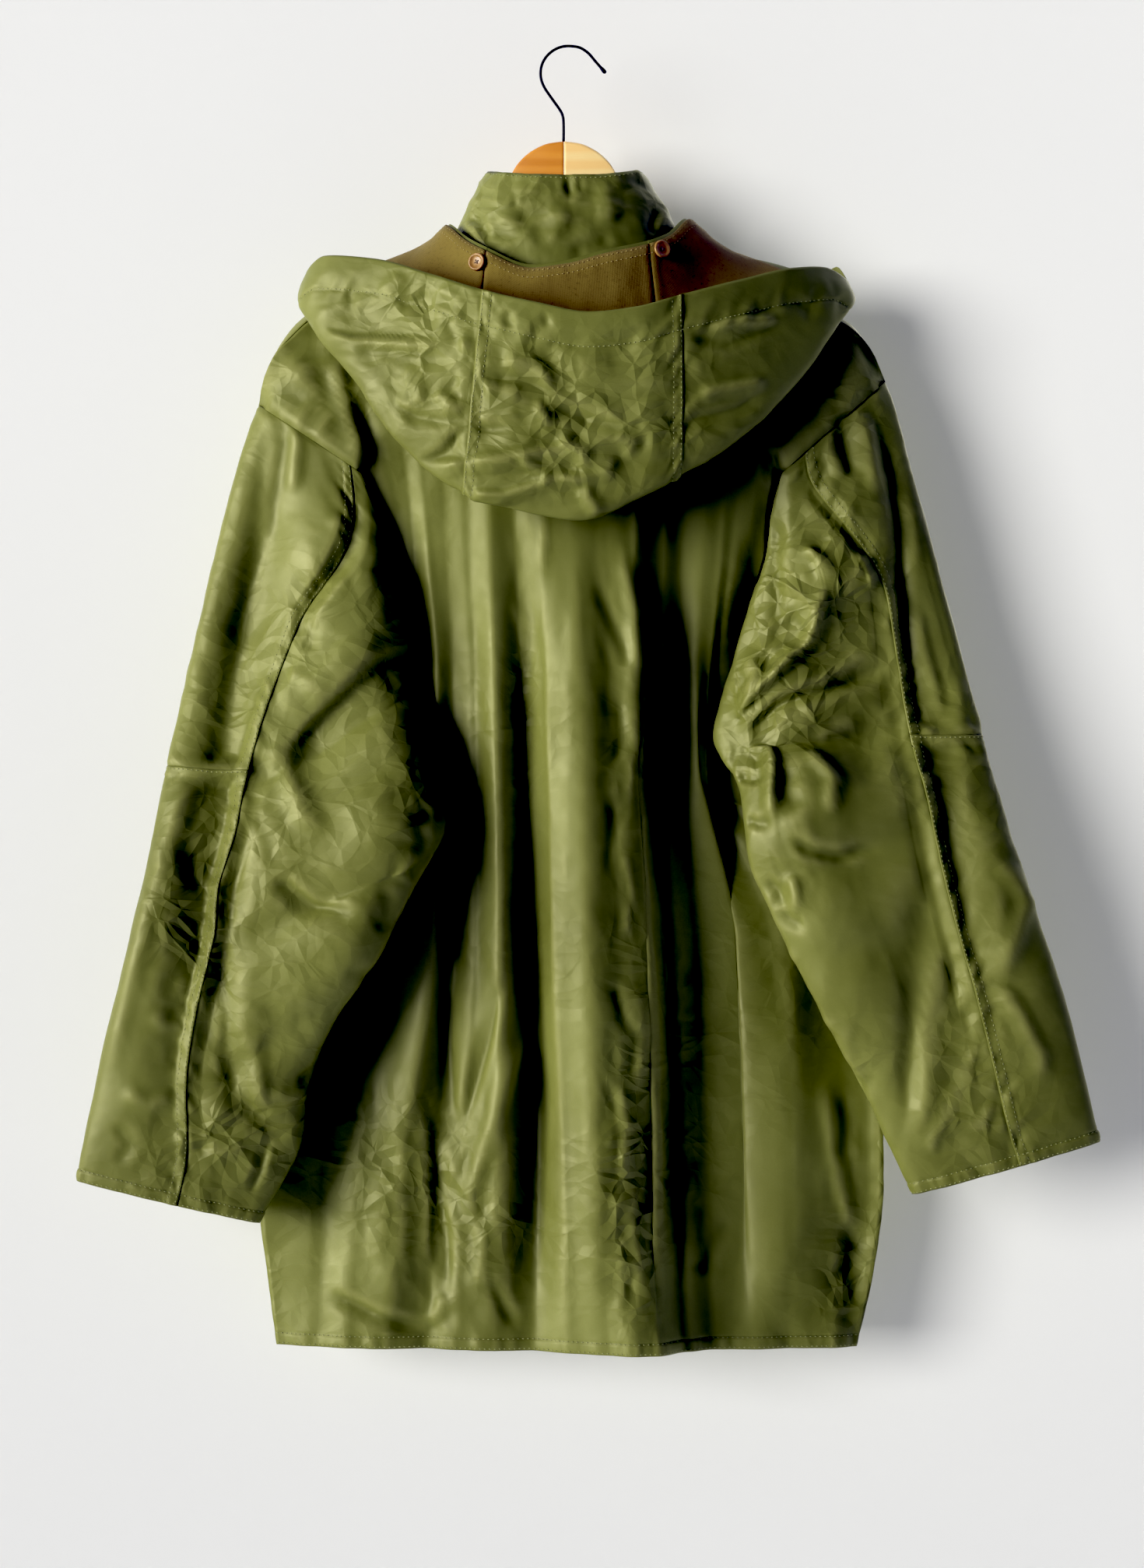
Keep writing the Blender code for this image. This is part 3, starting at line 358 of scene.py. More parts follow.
def front_grid(side, v, c):
    """Front panel. v down, c from the side (0) to the middle (1)."""
    v, c = np.broadcast_arrays(v, c)
    sg = -1 if side == "left" else 1
    edge = body_edge(side, v, "front")
    # top line: the shoulder seam up to c = 0.62, then the neck
    cut = 0.62
    half = 95.0 if side == "left" else 88.0
    x_end = TOP["x"][0] if side == "left" else TOP["x"][-1]
    x_s = x_end + (sg * half - x_end) * np.clip(c / cut, 0, 1)
    q = np.clip((c - cut) / (1 - cut), 0, 1)
    x_n = CENTRE_X + (sg * half - CENTRE_X) * at(NECK_FRONT, "f", q, "x") / 0.94
    on_neck = c > cut
    x_t = np.where(on_neck, x_n, x_s)
    y_t = np.where(on_neck, at(NECK_FRONT, "f", q, "y"), spline(x_s, TOP["x"], TOP["y"]))
    z_t = np.where(on_neck, at(NECK_FRONT, "f", q, "z"), spline(x_s, TOP["x"], TOP["z"]))
    lift = np.where(on_neck, 2 * (1 - q) ** 2, spline(x_s, TOP["x"], TOP["lift"]))
    # over the ridge: down the panel, forward and up
    wrap = spline(v, [0, 0.02, 0.04, 0.075, 0.14], [0, 0.42, 0.82, 0.95, 1.0])
    hump = spline(v, [0, 0.02, 0.04, 0.075], [0, 1, 0.75, 0])
    body_y = np.zeros(v.shape)
    for i, (a, b) in enumerate([("near", "mid"), ("mid", "low"), ("low", "hem")]):
        lo, hi = [(0.16, 0.5), (0.5, 0.8), (0.8, 1.0)][i]
        m = (v >= lo) if i else np.ones(v.shape, bool)
        f = np.clip((v - lo) / (hi - lo), 0, 1)
        val = at(FRONT_Y, "c", c, a) * (1 - smooth(f)) + at(FRONT_Y, "c", c, b) * smooth(f)
        body_y = np.where(m, val, body_y)
    body_y = body_y + edge[..., 1] * (1 - smooth(c / 0.5))
    mix = smooth(np.minimum(v / 0.26, 1)) ** 0.8
    x = x_t * (1 - mix) + (edge[..., 0] + (CENTRE_X - edge[..., 0]) * c ** (1.0 - 0.25 * (1 - mix))) * mix
    x = np.where(c <= 0, edge[..., 0], x)
    other = body_edge("right" if side == "left" else "left", v, "front")
    z_low = edge[..., 2] + 0.5 * (other[..., 2] - edge[..., 2]) * c
    over = smooth((0.72 - c) / 0.1)
    late = np.maximum(v - 0.035 * over, 0) / (1 - 0.035 * over)
    fade = np.clip(1 - late / 0.30, 0, 1) ** 1.45
    z0 = TOP["z"][0] if side == "left" else TOP["z"][-1]
    z1 = 0.5 * (TOP["z"][0] + TOP["z"][-1])
    z = z_low + (z_t - (z0 + (z1 - z0) * c)) * fade + (lift + 2) * hump * smooth(c / 0.12) * over
    y = (y_t + FACE) * (1 - wrap) + body_y * wrap
    y = np.where(c <= 0, edge[..., 1], y)
    z = np.where(c <= 0, edge[..., 2], z)
    return np.stack([x, y, z], -1)


# -------------------------------------------------------------------- hood
# one row per section: neck edge, lowest line and opening edge, each x y z,
# then y of the inner side and how far the inner side is held up
HOOD = table("t nx ny nz bx by bz ox oy oz yin up", [
    (-1.0, -26, 60, -180, -38, 70, -222, -44, 84, -192, 60, 0),
    (-0.91, -64, 50, -168, -132, 60, -226, -146, 70, -192, 50, 0),
    (-0.87, -76, 43, -161, -176, 40, -206, -186, 44, -178, 34, 6),
    (-0.83, -85, 35, -156, -197, 12, -190, -203, 14, -168, 20, 10),
    (-0.8, -90, 30, -152, -203, -8, -201, -205.8, -6, -177.1, 6, 14),
    (-0.72, -98, 10, -144, -192.7, -28, -228.5, -191.4, -30, -167.8, -16, 17),
    (-0.6, -94.8, -14, -140.9, -167.6, -46, -262.3, -152.2, -52, -172.7, -38, 11),
    (-0.45, -79.6, -38, -154.5, -127.7, -64, -319.2, -106.4, -74, -187.7, -50, 0),
    (-0.3, -64.2, -50, -164, -82, -76, -355.3, -66.8, -90, -201.7, -58, 0),
    (-0.15, -31, -58, -178, -40.9, -82, -368.3, -25.9, -98, -212.2, -64, 0),
    (0.0, -5.4, -60, -175.1, 6.5, -82, -375.4, 13.6, -100, -219.6, -65, 0),
    (0.15, 25, -58, -167, 57, -82, -355.2, 47.8, -98, -215.8, -64, 0),
    (0.3, 58.8, -50, -158.6, 82, -76, -341.7, 83.4, -90, -205.3, -58, 0),
    (0.45, 74.8, -38, -150.8, 131.9, -64, -307.8, 128.4, -74, -191.9, -50, 0),
    (0.6, 89.3, -14, -136.6, 171.8, -46, -265.3, 171.3, -52, -179.9, -38, 11),
    (0.72, 98, 8, -145, 198.2, -28, -225.5, 196.8, -30, -176.8, -16, 14),
    (0.8, 84, 30, -150, 209, -8, -201, 215.5, -6, -184.4, 6, 14),
    (0.83, 79, 35, -156, 200, 12, -190, 208, 14, -170, 20, 10),
    (0.87, 70, 43, -161, 178, 40, -206, 190, 44, -180, 34, 6),
    (0.91, 58, 50, -168, 132, 60, -226, 150, 70, -192, 50, 0),
    (1.0, 20, 60, -180, 32, 70, -222, 38, 84, -192, 60, 0)])
HOOD_SEAM = 0.3
LINED = 0.78            # the lining ends where the hood goes over the shoulders


def hood_point(t, s):
    """Hood surface: t round the neck, s from the neck edge over the bag's
    lowest line (0.5) to the opening edge (1)."""
    t, s = np.broadcast_arrays(t, s)
    g = {c: at(HOOD, "t", t, c) for c in "nx ny nz bx by bz ox oy oz yin up".split()}
    out = []
    for a in "xyz":
        n, b, o = g["n" + a], g["b" + a], g["o" + a]
        p1 = p2 = (8 * b - n - o) / 6
        if a == "y":
            back = smooth((0.85 - np.abs(t)) / 0.2)
            p1 = p1 * (1 - back) + g["yin"] * back
            p2 = (8 * b - n - o) / 3 - p1
        q = 1 - s
        p = n * q ** 3 + 3 * p1 * q * q * s + 3 * p2 * q * s * s + o * s ** 3
        if a == "z":
            p = p + g["up"] * np.sin(np.pi * np.clip(s / 0.55, 0, 1))
        out.append(p)
    return np.stack(out, -1)


def hood_piece(which, s_rows, cols, off=0.0):
    """A hood piece; off puts the lining inside it, from the second row to the
    last but one of the same points."""
    lo, hi = {"left": (-1.0, -HOOD_SEAM), "centre": (-HOOD_SEAM, HOOD_SEAM), "right": (HOOD_SEAM, 1.0)}[which]
    s = np.asarray(s_rows, float)[:, None]
    t = np.linspace(lo, hi, cols)[None, :]
    g = hood_point(t, s)
    if off:
        g = (g + normals(g) * off)[1:-1, np.abs(t[0]) < LINED]
    return g


# ------------------------------------------------------------------ collar
# round from the middle of the back (0) to the middle of the front (1), each way
COLLAR = table("a bx by bz tx ty tz", [
    (0.0, 0.0, -51, -182, 0.0, -39, -106), (0.2, 0.42, -47.5, -177, 0.46, -37, -105),
    (0.35, 0.72, -38, -168, 0.80, -28, -102), (0.5, 0.98, -10, -155, 1.0, -6, -98), (0.62, 0.99, 14, -152, 0.97, 12, -100),
    (0.78, 0.72, 36, -160, 0.72, 30, -109), (0.9, 0.38, 49, -169, 0.38, 42, -118), (1.0, 0.045, 53, -174, 0.05, 45, -124)])
COLLAR_HALF = (91.0, 60.0)
COLLAR_MID = (-3.0, -6.0)


def collar_grid(rows, cols):
    a = np.linspace(-1, 1, cols)[None, :]
    h = np.linspace(0, 1, rows)[:, None]
    a, h = np.broadcast_arrays(a, h)
    s = np.abs(a)
    col = {c: at(COLLAR, "a", s, c) for c in "bx by bz tx ty tz".split()}
    xb = COLLAR_MID[0] + np.sign(a) * col["bx"] * COLLAR_HALF[0]
    xt = COLLAR_MID[1] + np.sign(a) * col["tx"] * COLLAR_HALF[1]
    x = xb + (xt - xb) * h ** 1.15
    y = col["by"] + (col["ty"] - col["by"]) * h
    z = col["bz"] + (col["tz"] - col["bz"]) * h
    return np.stack([x, y, z], -1)[::-1]


def normals(g):
    du = np.empty_like(g)
    dv = np.empty_like(g)
    du[:, 1:-1] = g[:, 2:] - g[:, :-2]
    du[:, 0] = g[:, 1] - g[:, 0]
    du[:, -1] = g[:, -1] - g[:, -2]
    dv[1:-1] = g[2:] - g[:-2]
    dv[0] = g[1] - g[0]
    dv[-1] = g[-1] - g[-2]
    n = np.cross(dv, du)
    ln = np.linalg.norm(n, axis=-1, keepdims=True)
    return n / np.maximum(ln, 1e-9)


def trim(g, top=0.0, bottom=0.0, first=0.0, last=0.0):
    """Pull each edge of the grid in along its own rows or columns."""
    g = g.copy()

    def pull(edge, nxt, d):
        v = nxt - edge
        ln = np.linalg.norm(v, axis=-1, keepdims=True)
        return edge + v / np.maximum(ln, 1e-6) * np.minimum(d, 0.6 * ln)
    if top:
        g[0] = pull(g[0], g[1], top)
    if bottom:
        g[-1] = pull(g[-1], g[-2], bottom)
    if first:
        g[:, 0] = pull(g[:, 0], g[:, 1], first)
    if last:
        g[:, -1] = pull(g[:, -1], g[:, -2], last)
    return g


# half outline, from the joint at the middle to the tip: x, top, bottom, thick
ARM = table("x top bottom thick", [
    (0.15, -74.0, -164, 12), (12, -75.6, -164, 12), (24, -80.8, -165, 12), (34, -89.0, -167, 12), (41, -99.6, -169, 12),
    (45, -112, -171, 12), (52, -127, -175, 12), (66, -150, -184, 12), (84, -167, -196, 12), (104, -179, -206, 12),
    (130, -188.5, -215, 12), (156, -201, -226, 11.5), (182, -214, -236, 11), (200, -226, -243, 10), (211, -236, -246, 8),
    (216, -241, -245, 4)])
HANGER_MID = -5.7


# -------------------------------------------------------------------- noise
TURN = [np.linalg.qr(np.array([[math.sin(3.1 * a + 1.7 * b + 2.3 * s) for b in range(3)] for a in range(3)]) + 0.3 * np.eye(3))[0]
        for s in range(1, 9)]
M32 = np.uint64(0xFFFFFFFF)


def corner_value(c, seed):
    """A fixed value from -1 to 1 for each whole-number lattice corner."""
    u = c.astype(np.int64).astype(np.uint64)
    h = (u[..., 0] * np.uint64(73856093)) ^ (u[..., 1] * np.uint64(19349663)) ^ (u[..., 2] * np.uint64(83492791))
    h = (h + np.uint64(seed * 2654435761 % 4294967296)) & M32
    for mult, shift in ((2246822519, 15), (3266489917, 13), (668265263, 16)):
        h = ((h ^ (h >> np.uint64(shift))) * np.uint64(mult)) & M32
    h = h ^ (h >> np.uint64(16))
    return h.astype(float) / 2147483647.5 - 1.0


def placed(p, size, seed):
    q = p.reshape(-1, 3) @ TURN[seed % 8].T
    return q / np.asarray(size, float) + seed * 7.31


def facets(p, size, seed):
    """Flat-faced noise: corner values joined by flat faces, so the creases are sharp."""
    q = placed(p, size, seed)
    i = np.floor(q)
    f = q - i
    order = np.argsort(-f, axis=1, kind="stable")
    fs = np.take_along_axis(f, order, axis=1)
    w = [1 - fs[:, 0], fs[:, 0] - fs[:, 1], fs[:, 1] - fs[:, 2], fs[:, 2]]
    c = i.copy()
    val = w[0] * corner_value(c, seed)
    rows = np.arange(len(c))
    for s in range(3):
        c[rows, order[:, s]] += 1
        val = val + w[s + 1] * corner_value(c, seed)
    return val.reshape(p.shape[:-1])


def soft(p, size, seed):
    """Smooth noise."""
    q = placed(p, size, seed)
    i = np.floor(q)
    f = q - i
    f = f * f * f * (f * (f * 6 - 15) + 10)
    val = 0
    for dx in (0, 1):
        for dy in (0, 1):
            for dz in (0, 1):
                w = (f[:, 0] if dx else 1 - f[:, 0]) * (f[:, 1] if dy else 1 - f[:, 1]) * (f[:, 2] if dz else 1 - f[:, 2])
                val = val + w * corner_value(i + [dx, dy, dz], seed)
    return val.reshape(p.shape[:-1])


def warped(p, size, seed, far=0.4):
    d = np.stack([soft(p, size * 1.6, seed + k) for k in (11, 23, 37)], -1)
    return p + d * size * far


def crumple(p, size, seed, long=(1.0, 1.0, 1.0)):
    """Crumpled, papery cloth: sharp ridges with hollows between them, in three sizes."""
    q = p * np.array([1.0 / a for a in long])
    w = warped(q, size, seed)
    return (1.5 * (0.34 - np.abs(facets(w, size, seed))) + 0.8 * (0.34 - np.abs(facets(w, size * 0.56, seed + 1)))
            + 0.42 * (0.34 - np.abs(facets(w, size * 0.31, seed + 2))))


# ------------------------------------------------------- creases listed one by one
def to_photo(p):
    """Where a point shows in the photograph's frame (the camera is 2901 mm off)."""
    k = (2901.0 + p[..., 1]) / 2901.0
    return 735 + (p[..., 0] - 0.61) / (0.61 * k), 1007 + (-577.06 - p[..., 2]) / (0.61 * k)


def crease(px, py, way, depth, wide, kind="fold", ends=(0.2, 0.25)):
    """Relief of one crease: way is its line in the photograph's frame, depth in mm
    (out is plus), wide its half width in frame units. fold is round, vee is
    sharp, lap is a fold that overlaps: steep on one side of its line."""
    way = np.asarray(way, float)
    seg = np.diff(way, axis=0)
    ln = np.linalg.norm(seg, axis=1)
    start = np.concatenate([[0], np.cumsum(ln)])
    best = np.full(px.shape, 1e9)
    side = np.zeros(px.shape)
    along = np.zeros(px.shape)
    reach = 4 * abs(wide) + 4
    near = ((px > way[:, 0].min() - reach) & (px < way[:, 0].max() + reach)
            & (py > way[:, 1].min() - reach) & (py < way[:, 1].max() + reach))
    h = np.zeros(px.shape)
    if not near.any():
        return h
    x, y = px[near], py[near]
    b, sd, al = best[near], side[near], along[near]
    for (ax, ay), (sx, sy), n, s0 in zip(way[:-1], seg, ln, start):
        t = np.clip(((x - ax) * sx + (y - ay) * sy) / (n * n), 0, 1)
        ox, oy = x - ax - t * sx, y - ay - t * sy
        d = np.hypot(ox, oy)
        m = d < b
        b = np.where(m, d, b)
        sd = np.where(m, np.sign(sx * oy - sy * ox), sd)
        al = np.where(m, (s0 + t * n) / start[-1], al)
    u = b / wide
    if kind == "fold":
        f = np.exp(-u * u)
    elif kind == "vee":
        f = np.maximum(0, 1.09 - np.sqrt(0.32 * u * u + 0.008))
    else:
        f = np.where(sd > 0, np.maximum(0, 1 - u / 2.1), np.exp(-(b / max(4.2, wide * 0.32)) ** 2))
    fade = smooth(al / ends[0]) * smooth((1 - al) / ends[1])
    h[near] = depth * f * fade
    return h


# line, depth mm, half width, kind
HOOD_CREASES = [
    ([(411, 419), (430, 431), (453, 437), (508, 440), (545, 441), (583, 442)], 5.0, 11, "lap"),
    ([(455, 452), (520, 455), (575, 458)], -3.0, 9, "fold"),
    ([(571, 409), (580, 424), (588, 441)], -3.4, 7, "fold"),
    ([(590, 447), (606, 444), (621, 449)], 4.0, 5, "vee"),
    ([(500, 514), (516, 524), (535, 534), (562, 538), (604, 543)], -3.4, 6, "lap"),
    ([(512, 479), (532, 500), (548, 520)], 2.2, 9, "vee"),
    ([(535, 597), (569, 581), (586, 560), (604, 548), (661, 551)], -6.5, 15, "lap"),
    ([(536, 598), (598, 593), (661, 584), (698, 579), (752, 581)], 5.5, 10, "lap"),
    ([(593, 631), (647, 634), (683, 622), (720, 611), (760, 614)], 4.0, 9, "lap"),
    ([(694, 443), (707, 470), (727, 496), (738, 522)], -3.6, 11, "fold"),
    ([(644, 456), (673, 473), (698, 480), (712, 500)], 3.6, 7, "vee"),
    ([(640, 478), (648, 500)], -3.0, 6, "fold"),
    ([(688, 517), (697, 530), (706, 547)], 4.4, 4, "vee"),
    ([(700, 520), (752, 535), (799, 549), (815, 540)], -4.5, 8, "lap"),
    ([(714, 562), (735, 570), (750, 582), (740, 600)], 4.0, 8, "vee"),
    ([(666, 590), (690, 602), (712, 618)], 2.4, 6, "vee"),
    ([(765, 524), (800, 512), (883, 499)], -2.4, 6, "fold"),
    ([(893, 505), (930, 497), (990, 488)], 4.2, 8, "lap"),
    ([(846, 536), (883, 539), (948, 524), (985, 500)], -2.6, 7, "lap"),
    ([(905, 421), (951, 414), (1003, 411)], 4.5, 4, "vee"),
    ([(880, 430), (935, 443), (975, 427), (1014, 414)], -3.4, 7, "fold"),
    ([(740, 472), (760, 470), (790, 462)], 2.0, 14, "fold"),
    ([(730, 600), (784, 592), (778, 606), (713, 620)], 3.0, 7, "vee"),
    ([(748, 622), (757, 640), (772, 662)], 3.4, 7, "vee"),
    ([(784, 596), (850, 592), (890, 575)], -3.5, 12, "fold"),
    ([(640, 650), (700, 652), (752, 648)], -3.0, 9, "fold"),
    ([(512, 397), (531, 388), (552, 377)], -2.6, 4, "vee"),
    ([(446, 372), (452, 388), (448, 402)], -2.4, 5, "fold"),
    ([(560, 372), (585, 380), (600, 392)], 2.0, 5, "vee"),
    ([(520, 352), (500, 372), (512, 384)], 2.0, 7, "vee"),
    ([(655, 398), (652, 412), (663, 420)], -2.6, 4, "vee"),
    ([(700, 402), (704, 420)], -2.0, 4, "vee"),
    ([(640, 437), (720, 441), (800, 436), (860, 432)], -3.5, 10, "fold"),
    ([(590, 480), (575, 500), (600, 515)], -3.0, 6, "vee"),
    ([(560, 500), (580, 520), (600, 530)], 2.6, 7, "vee"),
    ([(615, 505), (640, 495), (660, 503), (668, 520)], 3.0, 7, "vee"),
    ([(660, 520), (690, 560), (720, 572)], -2.4, 8, "fold"),
    ([(790, 555), (812, 570), (800, 590)], 2.4, 6, "vee"),
    ([(812, 545), (830, 560), (822, 580)], -2.2, 5, "vee"),
    ([(430, 450), (470, 480), (505, 500), (530, 560)], 2.4, 10, "vee"),
    ([(1000, 380), (1030, 392), (1050, 410)], -3.0, 8, "fold")]

LEFT_CREASES = [
    ([(380, 530), (366, 600), (337, 700), (304, 850), (286, 1000), (274, 1150), (246, 1300), (228, 1450), (222, 1520)], -14.0, 38, "fold"),
    ([(440, 600), (450, 740), (462, 850), (512, 1000), (480, 1150), (410, 1290), (378, 1400)], 17.0, 68, "fold"),
    ([(350, 500), (343, 545), (330, 630), (318, 720), (296, 840), (276, 950), (266, 1020), (262, 1110)], -3.5, 12, "fold"),
    ([(372, 541), (362, 590), (350, 640), (344, 700)], -3.4, 7, "fold"),
    ([(383, 545), (378, 585), (372, 640)], 3.2, 8, "vee"),
    ([(352, 488), (362, 508), (378, 516), (398, 508)], -6.5, 8, "fold"),
    ([(362, 470), (385, 482), (410, 470), (427, 455)], 4.0, 8, "vee"),
    ([(427, 457), (430, 480), (434, 505), (455, 560), (465, 600)], 5.0, 9, "vee"),
    ([(395, 500), (402, 530), (398, 560)], -3.0, 9, "fold"),
    ([(374, 972), (388, 952), (420, 917), (452, 882), (486, 856), (524, 836)], -8.0, 20, "lap"),
    ([(360, 930), (395, 895), (440, 850), (500, 815)], 3.2, 20, "vee"),
    ([(426, 668), (440, 676), (455, 662)], 2.4, 6, "vee"),
    ([(396, 800), (402, 815), (392, 842)], -3.0, 5, "vee"),
    ([(480, 690), (470, 740), (482, 790), (500, 832)], 2.6, 11, "vee"),
    ([(370, 860), (395, 880), (420, 905)], 2.6, 10, "fold"),
    ([(352, 948), (368, 990), (389, 1045), (424, 1075)], 4.6, 12, "vee"),
    ([(352, 1125), (378, 1142), (404, 1161), (434, 1171), (466, 1178)], -5.6, 12, "lap"),
    ([(330, 1040), (345, 1085), (352, 1125)], -2.4, 8, "fold"),
    ([(276, 1212), (284, 1270), (290, 1330), (302, 1405), (338, 1442), (378, 1478)], -7.5, 15, "fold"),
    ([(276, 1250), (281, 1300), (280, 1360)], 3.0, 7, "fold"),
    ([(322, 1322), (332, 1375), (341, 1430)], 3.0, 9, "vee"),
    ([(345, 1466), (336, 1500), (322, 1532)], -3.2, 6, "lap"),
    ([(243, 991), (219, 1070), (195, 1157), (174, 1232), (153, 1323), (138, 1400)], 3.0, 9, "vee"),
    ([(257, 1000), (240, 1080), (243, 1120), (256, 1158)], -3.6, 9, "fold"),
    ([(215, 1180), (226, 1230), (208, 1290)], -3.0, 8, "fold"),
    ([(196, 1300), (214, 1320), (240, 1318)], 2.4, 7, "vee"),
    ([(160, 1400), (190, 1418), (225, 1412)], 2.4, 8, "vee"),
    ([(150, 1440), (166, 1470), (150, 1500)], -2.2, 6, "vee"),
    ([(529, 1086), (512, 1105), (504, 1130)], 3.4, 6, "vee"),
    ([(545, 1040), (530, 1062), (540, 1085)], -3.0, 6, "vee"),
    ([(497, 1140), (486, 1170), (470, 1190)], -2.6, 7, "vee"),
    ([(412, 1368), (395, 1378), (380, 1390)], -3.4, 4, "vee"),
    ([(330, 1292), (372, 1302), (420, 1300)], -2.2, 14, "fold"),
    ([(434, 1240), (458, 1246), (470, 1230)], -2.4, 6, "vee"),
    ([(345, 1400), (372, 1410), (396, 1400)], 2.0, 8, "vee"),
    ([(262, 1470), (286, 1480), (320, 1470)], 2.2, 8, "vee")]

RIGHT_CREASES = [
    ([(1150, 600), (1168, 700), (1196, 850), (1216, 1000), (1220, 1150), (1226, 1300), (1210, 1440)], -8.0, 52, "fold"),
    ([(1085, 560), (1045, 740), (1005, 850), (1018, 1000), (1030, 1150), (1085, 1300), (1130, 1460)], 12.0, 66, "fold"),
    ([(1240, 950), (1272, 1120), (1300, 1300)], 3.5, 28, "fold"),
    ([(1095, 430), (1097, 460), (1095, 492)], 4.0, 7, "fold"),
    ([(1070, 470), (1066, 500), (1058, 520)], -2.6, 6, "fold"),
    ([(1079, 536), (1085, 575), (1098, 618)], -4.6, 7, "fold"),
    ([(1098, 512), (1112, 560), (1120, 600), (1130, 640)], 4.4, 8, "vee"),
    ([(1128, 520), (1143, 590), (1160, 678), (1164, 760), (1166, 850), (1182, 960)], -7.5, 13, "fold"),
    ([(1062, 545), (1066, 575), (1084, 620)], 2.6, 6, "vee"),
    ([(1004, 615), (1030, 600), (1050, 590)], 3.0, 6, "lap"),
    ([(1036, 706), (1051, 722), (1058, 735), (1067, 750)], 5.0, 5, "vee"),
    ([(1000, 660), (1001, 720), (1005, 780), (1010, 830)], -6.0, 10, "fold"),
    ([(1060, 740), (1062, 762), (1047, 820), (1010, 864), (974, 898), (940, 930)], 9.0, 9, "lap"),
    ([(1070, 700), (1045, 680), (1030, 650)], -2.6, 9, "fold"),
    ([(1104, 708), (1113, 730), (1122, 758)], 5.0, 5, "vee"),
    ([(1085, 764), (1096, 745), (1107, 726)], 3.6, 5, "vee"),
    ([(1018, 770), (1026, 790), (1014, 812)], -3.6, 7, "fold"),
    ([(1116, 833), (1094, 852), (1070, 872), (1044, 897)], 4.4, 6, "lap"),
    ([(962, 852), (975, 868), (976, 880), (964, 899)], 5.0, 5, "vee"),
    ([(985, 840), (992, 862), (988, 884)], -4.0, 6, "fold"),
    ([(957, 948), (980, 928), (1002, 908), (1070, 879), (1140, 850)], -6.5, 9, "lap"),
    ([(958, 966), (975, 962), (990, 972), (999, 992), (999, 1030), (996, 1060)], 7.0, 8, "lap"),
    ([(1018, 990), (1015, 1022), (1030, 1050)], -7.0, 13, "fold"),
    ([(1035, 980), (1056, 990), (1072, 1005), (1070, 1030), (1061, 1048)], 5.0, 7, "vee"),
    ([(1045, 950), (1080, 930), (1110, 925)], 3.0, 10, "fold"),
    ([(952, 998), (972, 1005), (993, 1004)], -3.6, 4, "vee"),
    ([(966, 1054), (982, 1060), (997, 1057)], -3.6, 4, "vee"),
    ([(1015, 1075), (1049, 1090), (1081, 1098), (1126, 1082)], -5.6, 6, "lap"),
    ([(990, 1128), (1004, 1140), (1014, 1164)], -4.0, 5, "vee"),
    ([(1018, 1120), (1026, 1145), (1030, 1170)], 3.6, 5, "vee"),
    ([(1010, 1166), (1026, 1180), (1040, 1186)], -3.0, 5, "vee"),
    ([(1005, 1200), (1020, 1215), (1038, 1228)], 2.4, 6, "vee"),
    ([(1110, 900), (1112, 960), (1106, 1020)], -3.0, 14, "fold"),
    ([(1180, 1120), (1180, 1170), (1172, 1348), (1166, 1465)], -6.0, 16, "fold"),
    ([(1208, 1200), (1200, 1270), (1190, 1348), (1182, 1484)], 4.0, 12, "vee"),
    ([(1276, 1100), (1300, 1125), (1321, 1160), (1300, 1215), (1277, 1258)], 3.4, 8, "vee"),
    ([(1277, 1258), (1310, 1305), (1336, 1354), (1335, 1396)], 3.4, 8, "vee"),
    ([(1235, 850), (1236, 930), (1240, 1010), (1246, 1080)], 3.0, 12, "fold"),
    ([(1232, 1388), (1248, 1360), (1263, 1334)], 3.0, 5, "vee"),
    ([(1216, 1436), (1230, 1405), (1245, 1374)], 3.0, 5, "vee"),
    ([(1252, 1454), (1268, 1430), (1286, 1410)], 3.0, 5, "vee"),
    ([(1192, 1482), (1206, 1450), (1226, 1415)], 2.6, 6, "vee"),
    ([(1236, 1300), (1246, 1275), (1252, 1245)], 2.4, 5, "vee"),
    ([(1060, 1290), (1090, 1320), (1100, 1380)], 2.6, 9, "fold"),
    ([(1080, 1420), (1110, 1390), (1125, 1370)], -3.0, 7, "lap"),
    ([(1180, 770), (1195, 840), (1215, 930)], 2.6, 9, "fold")]

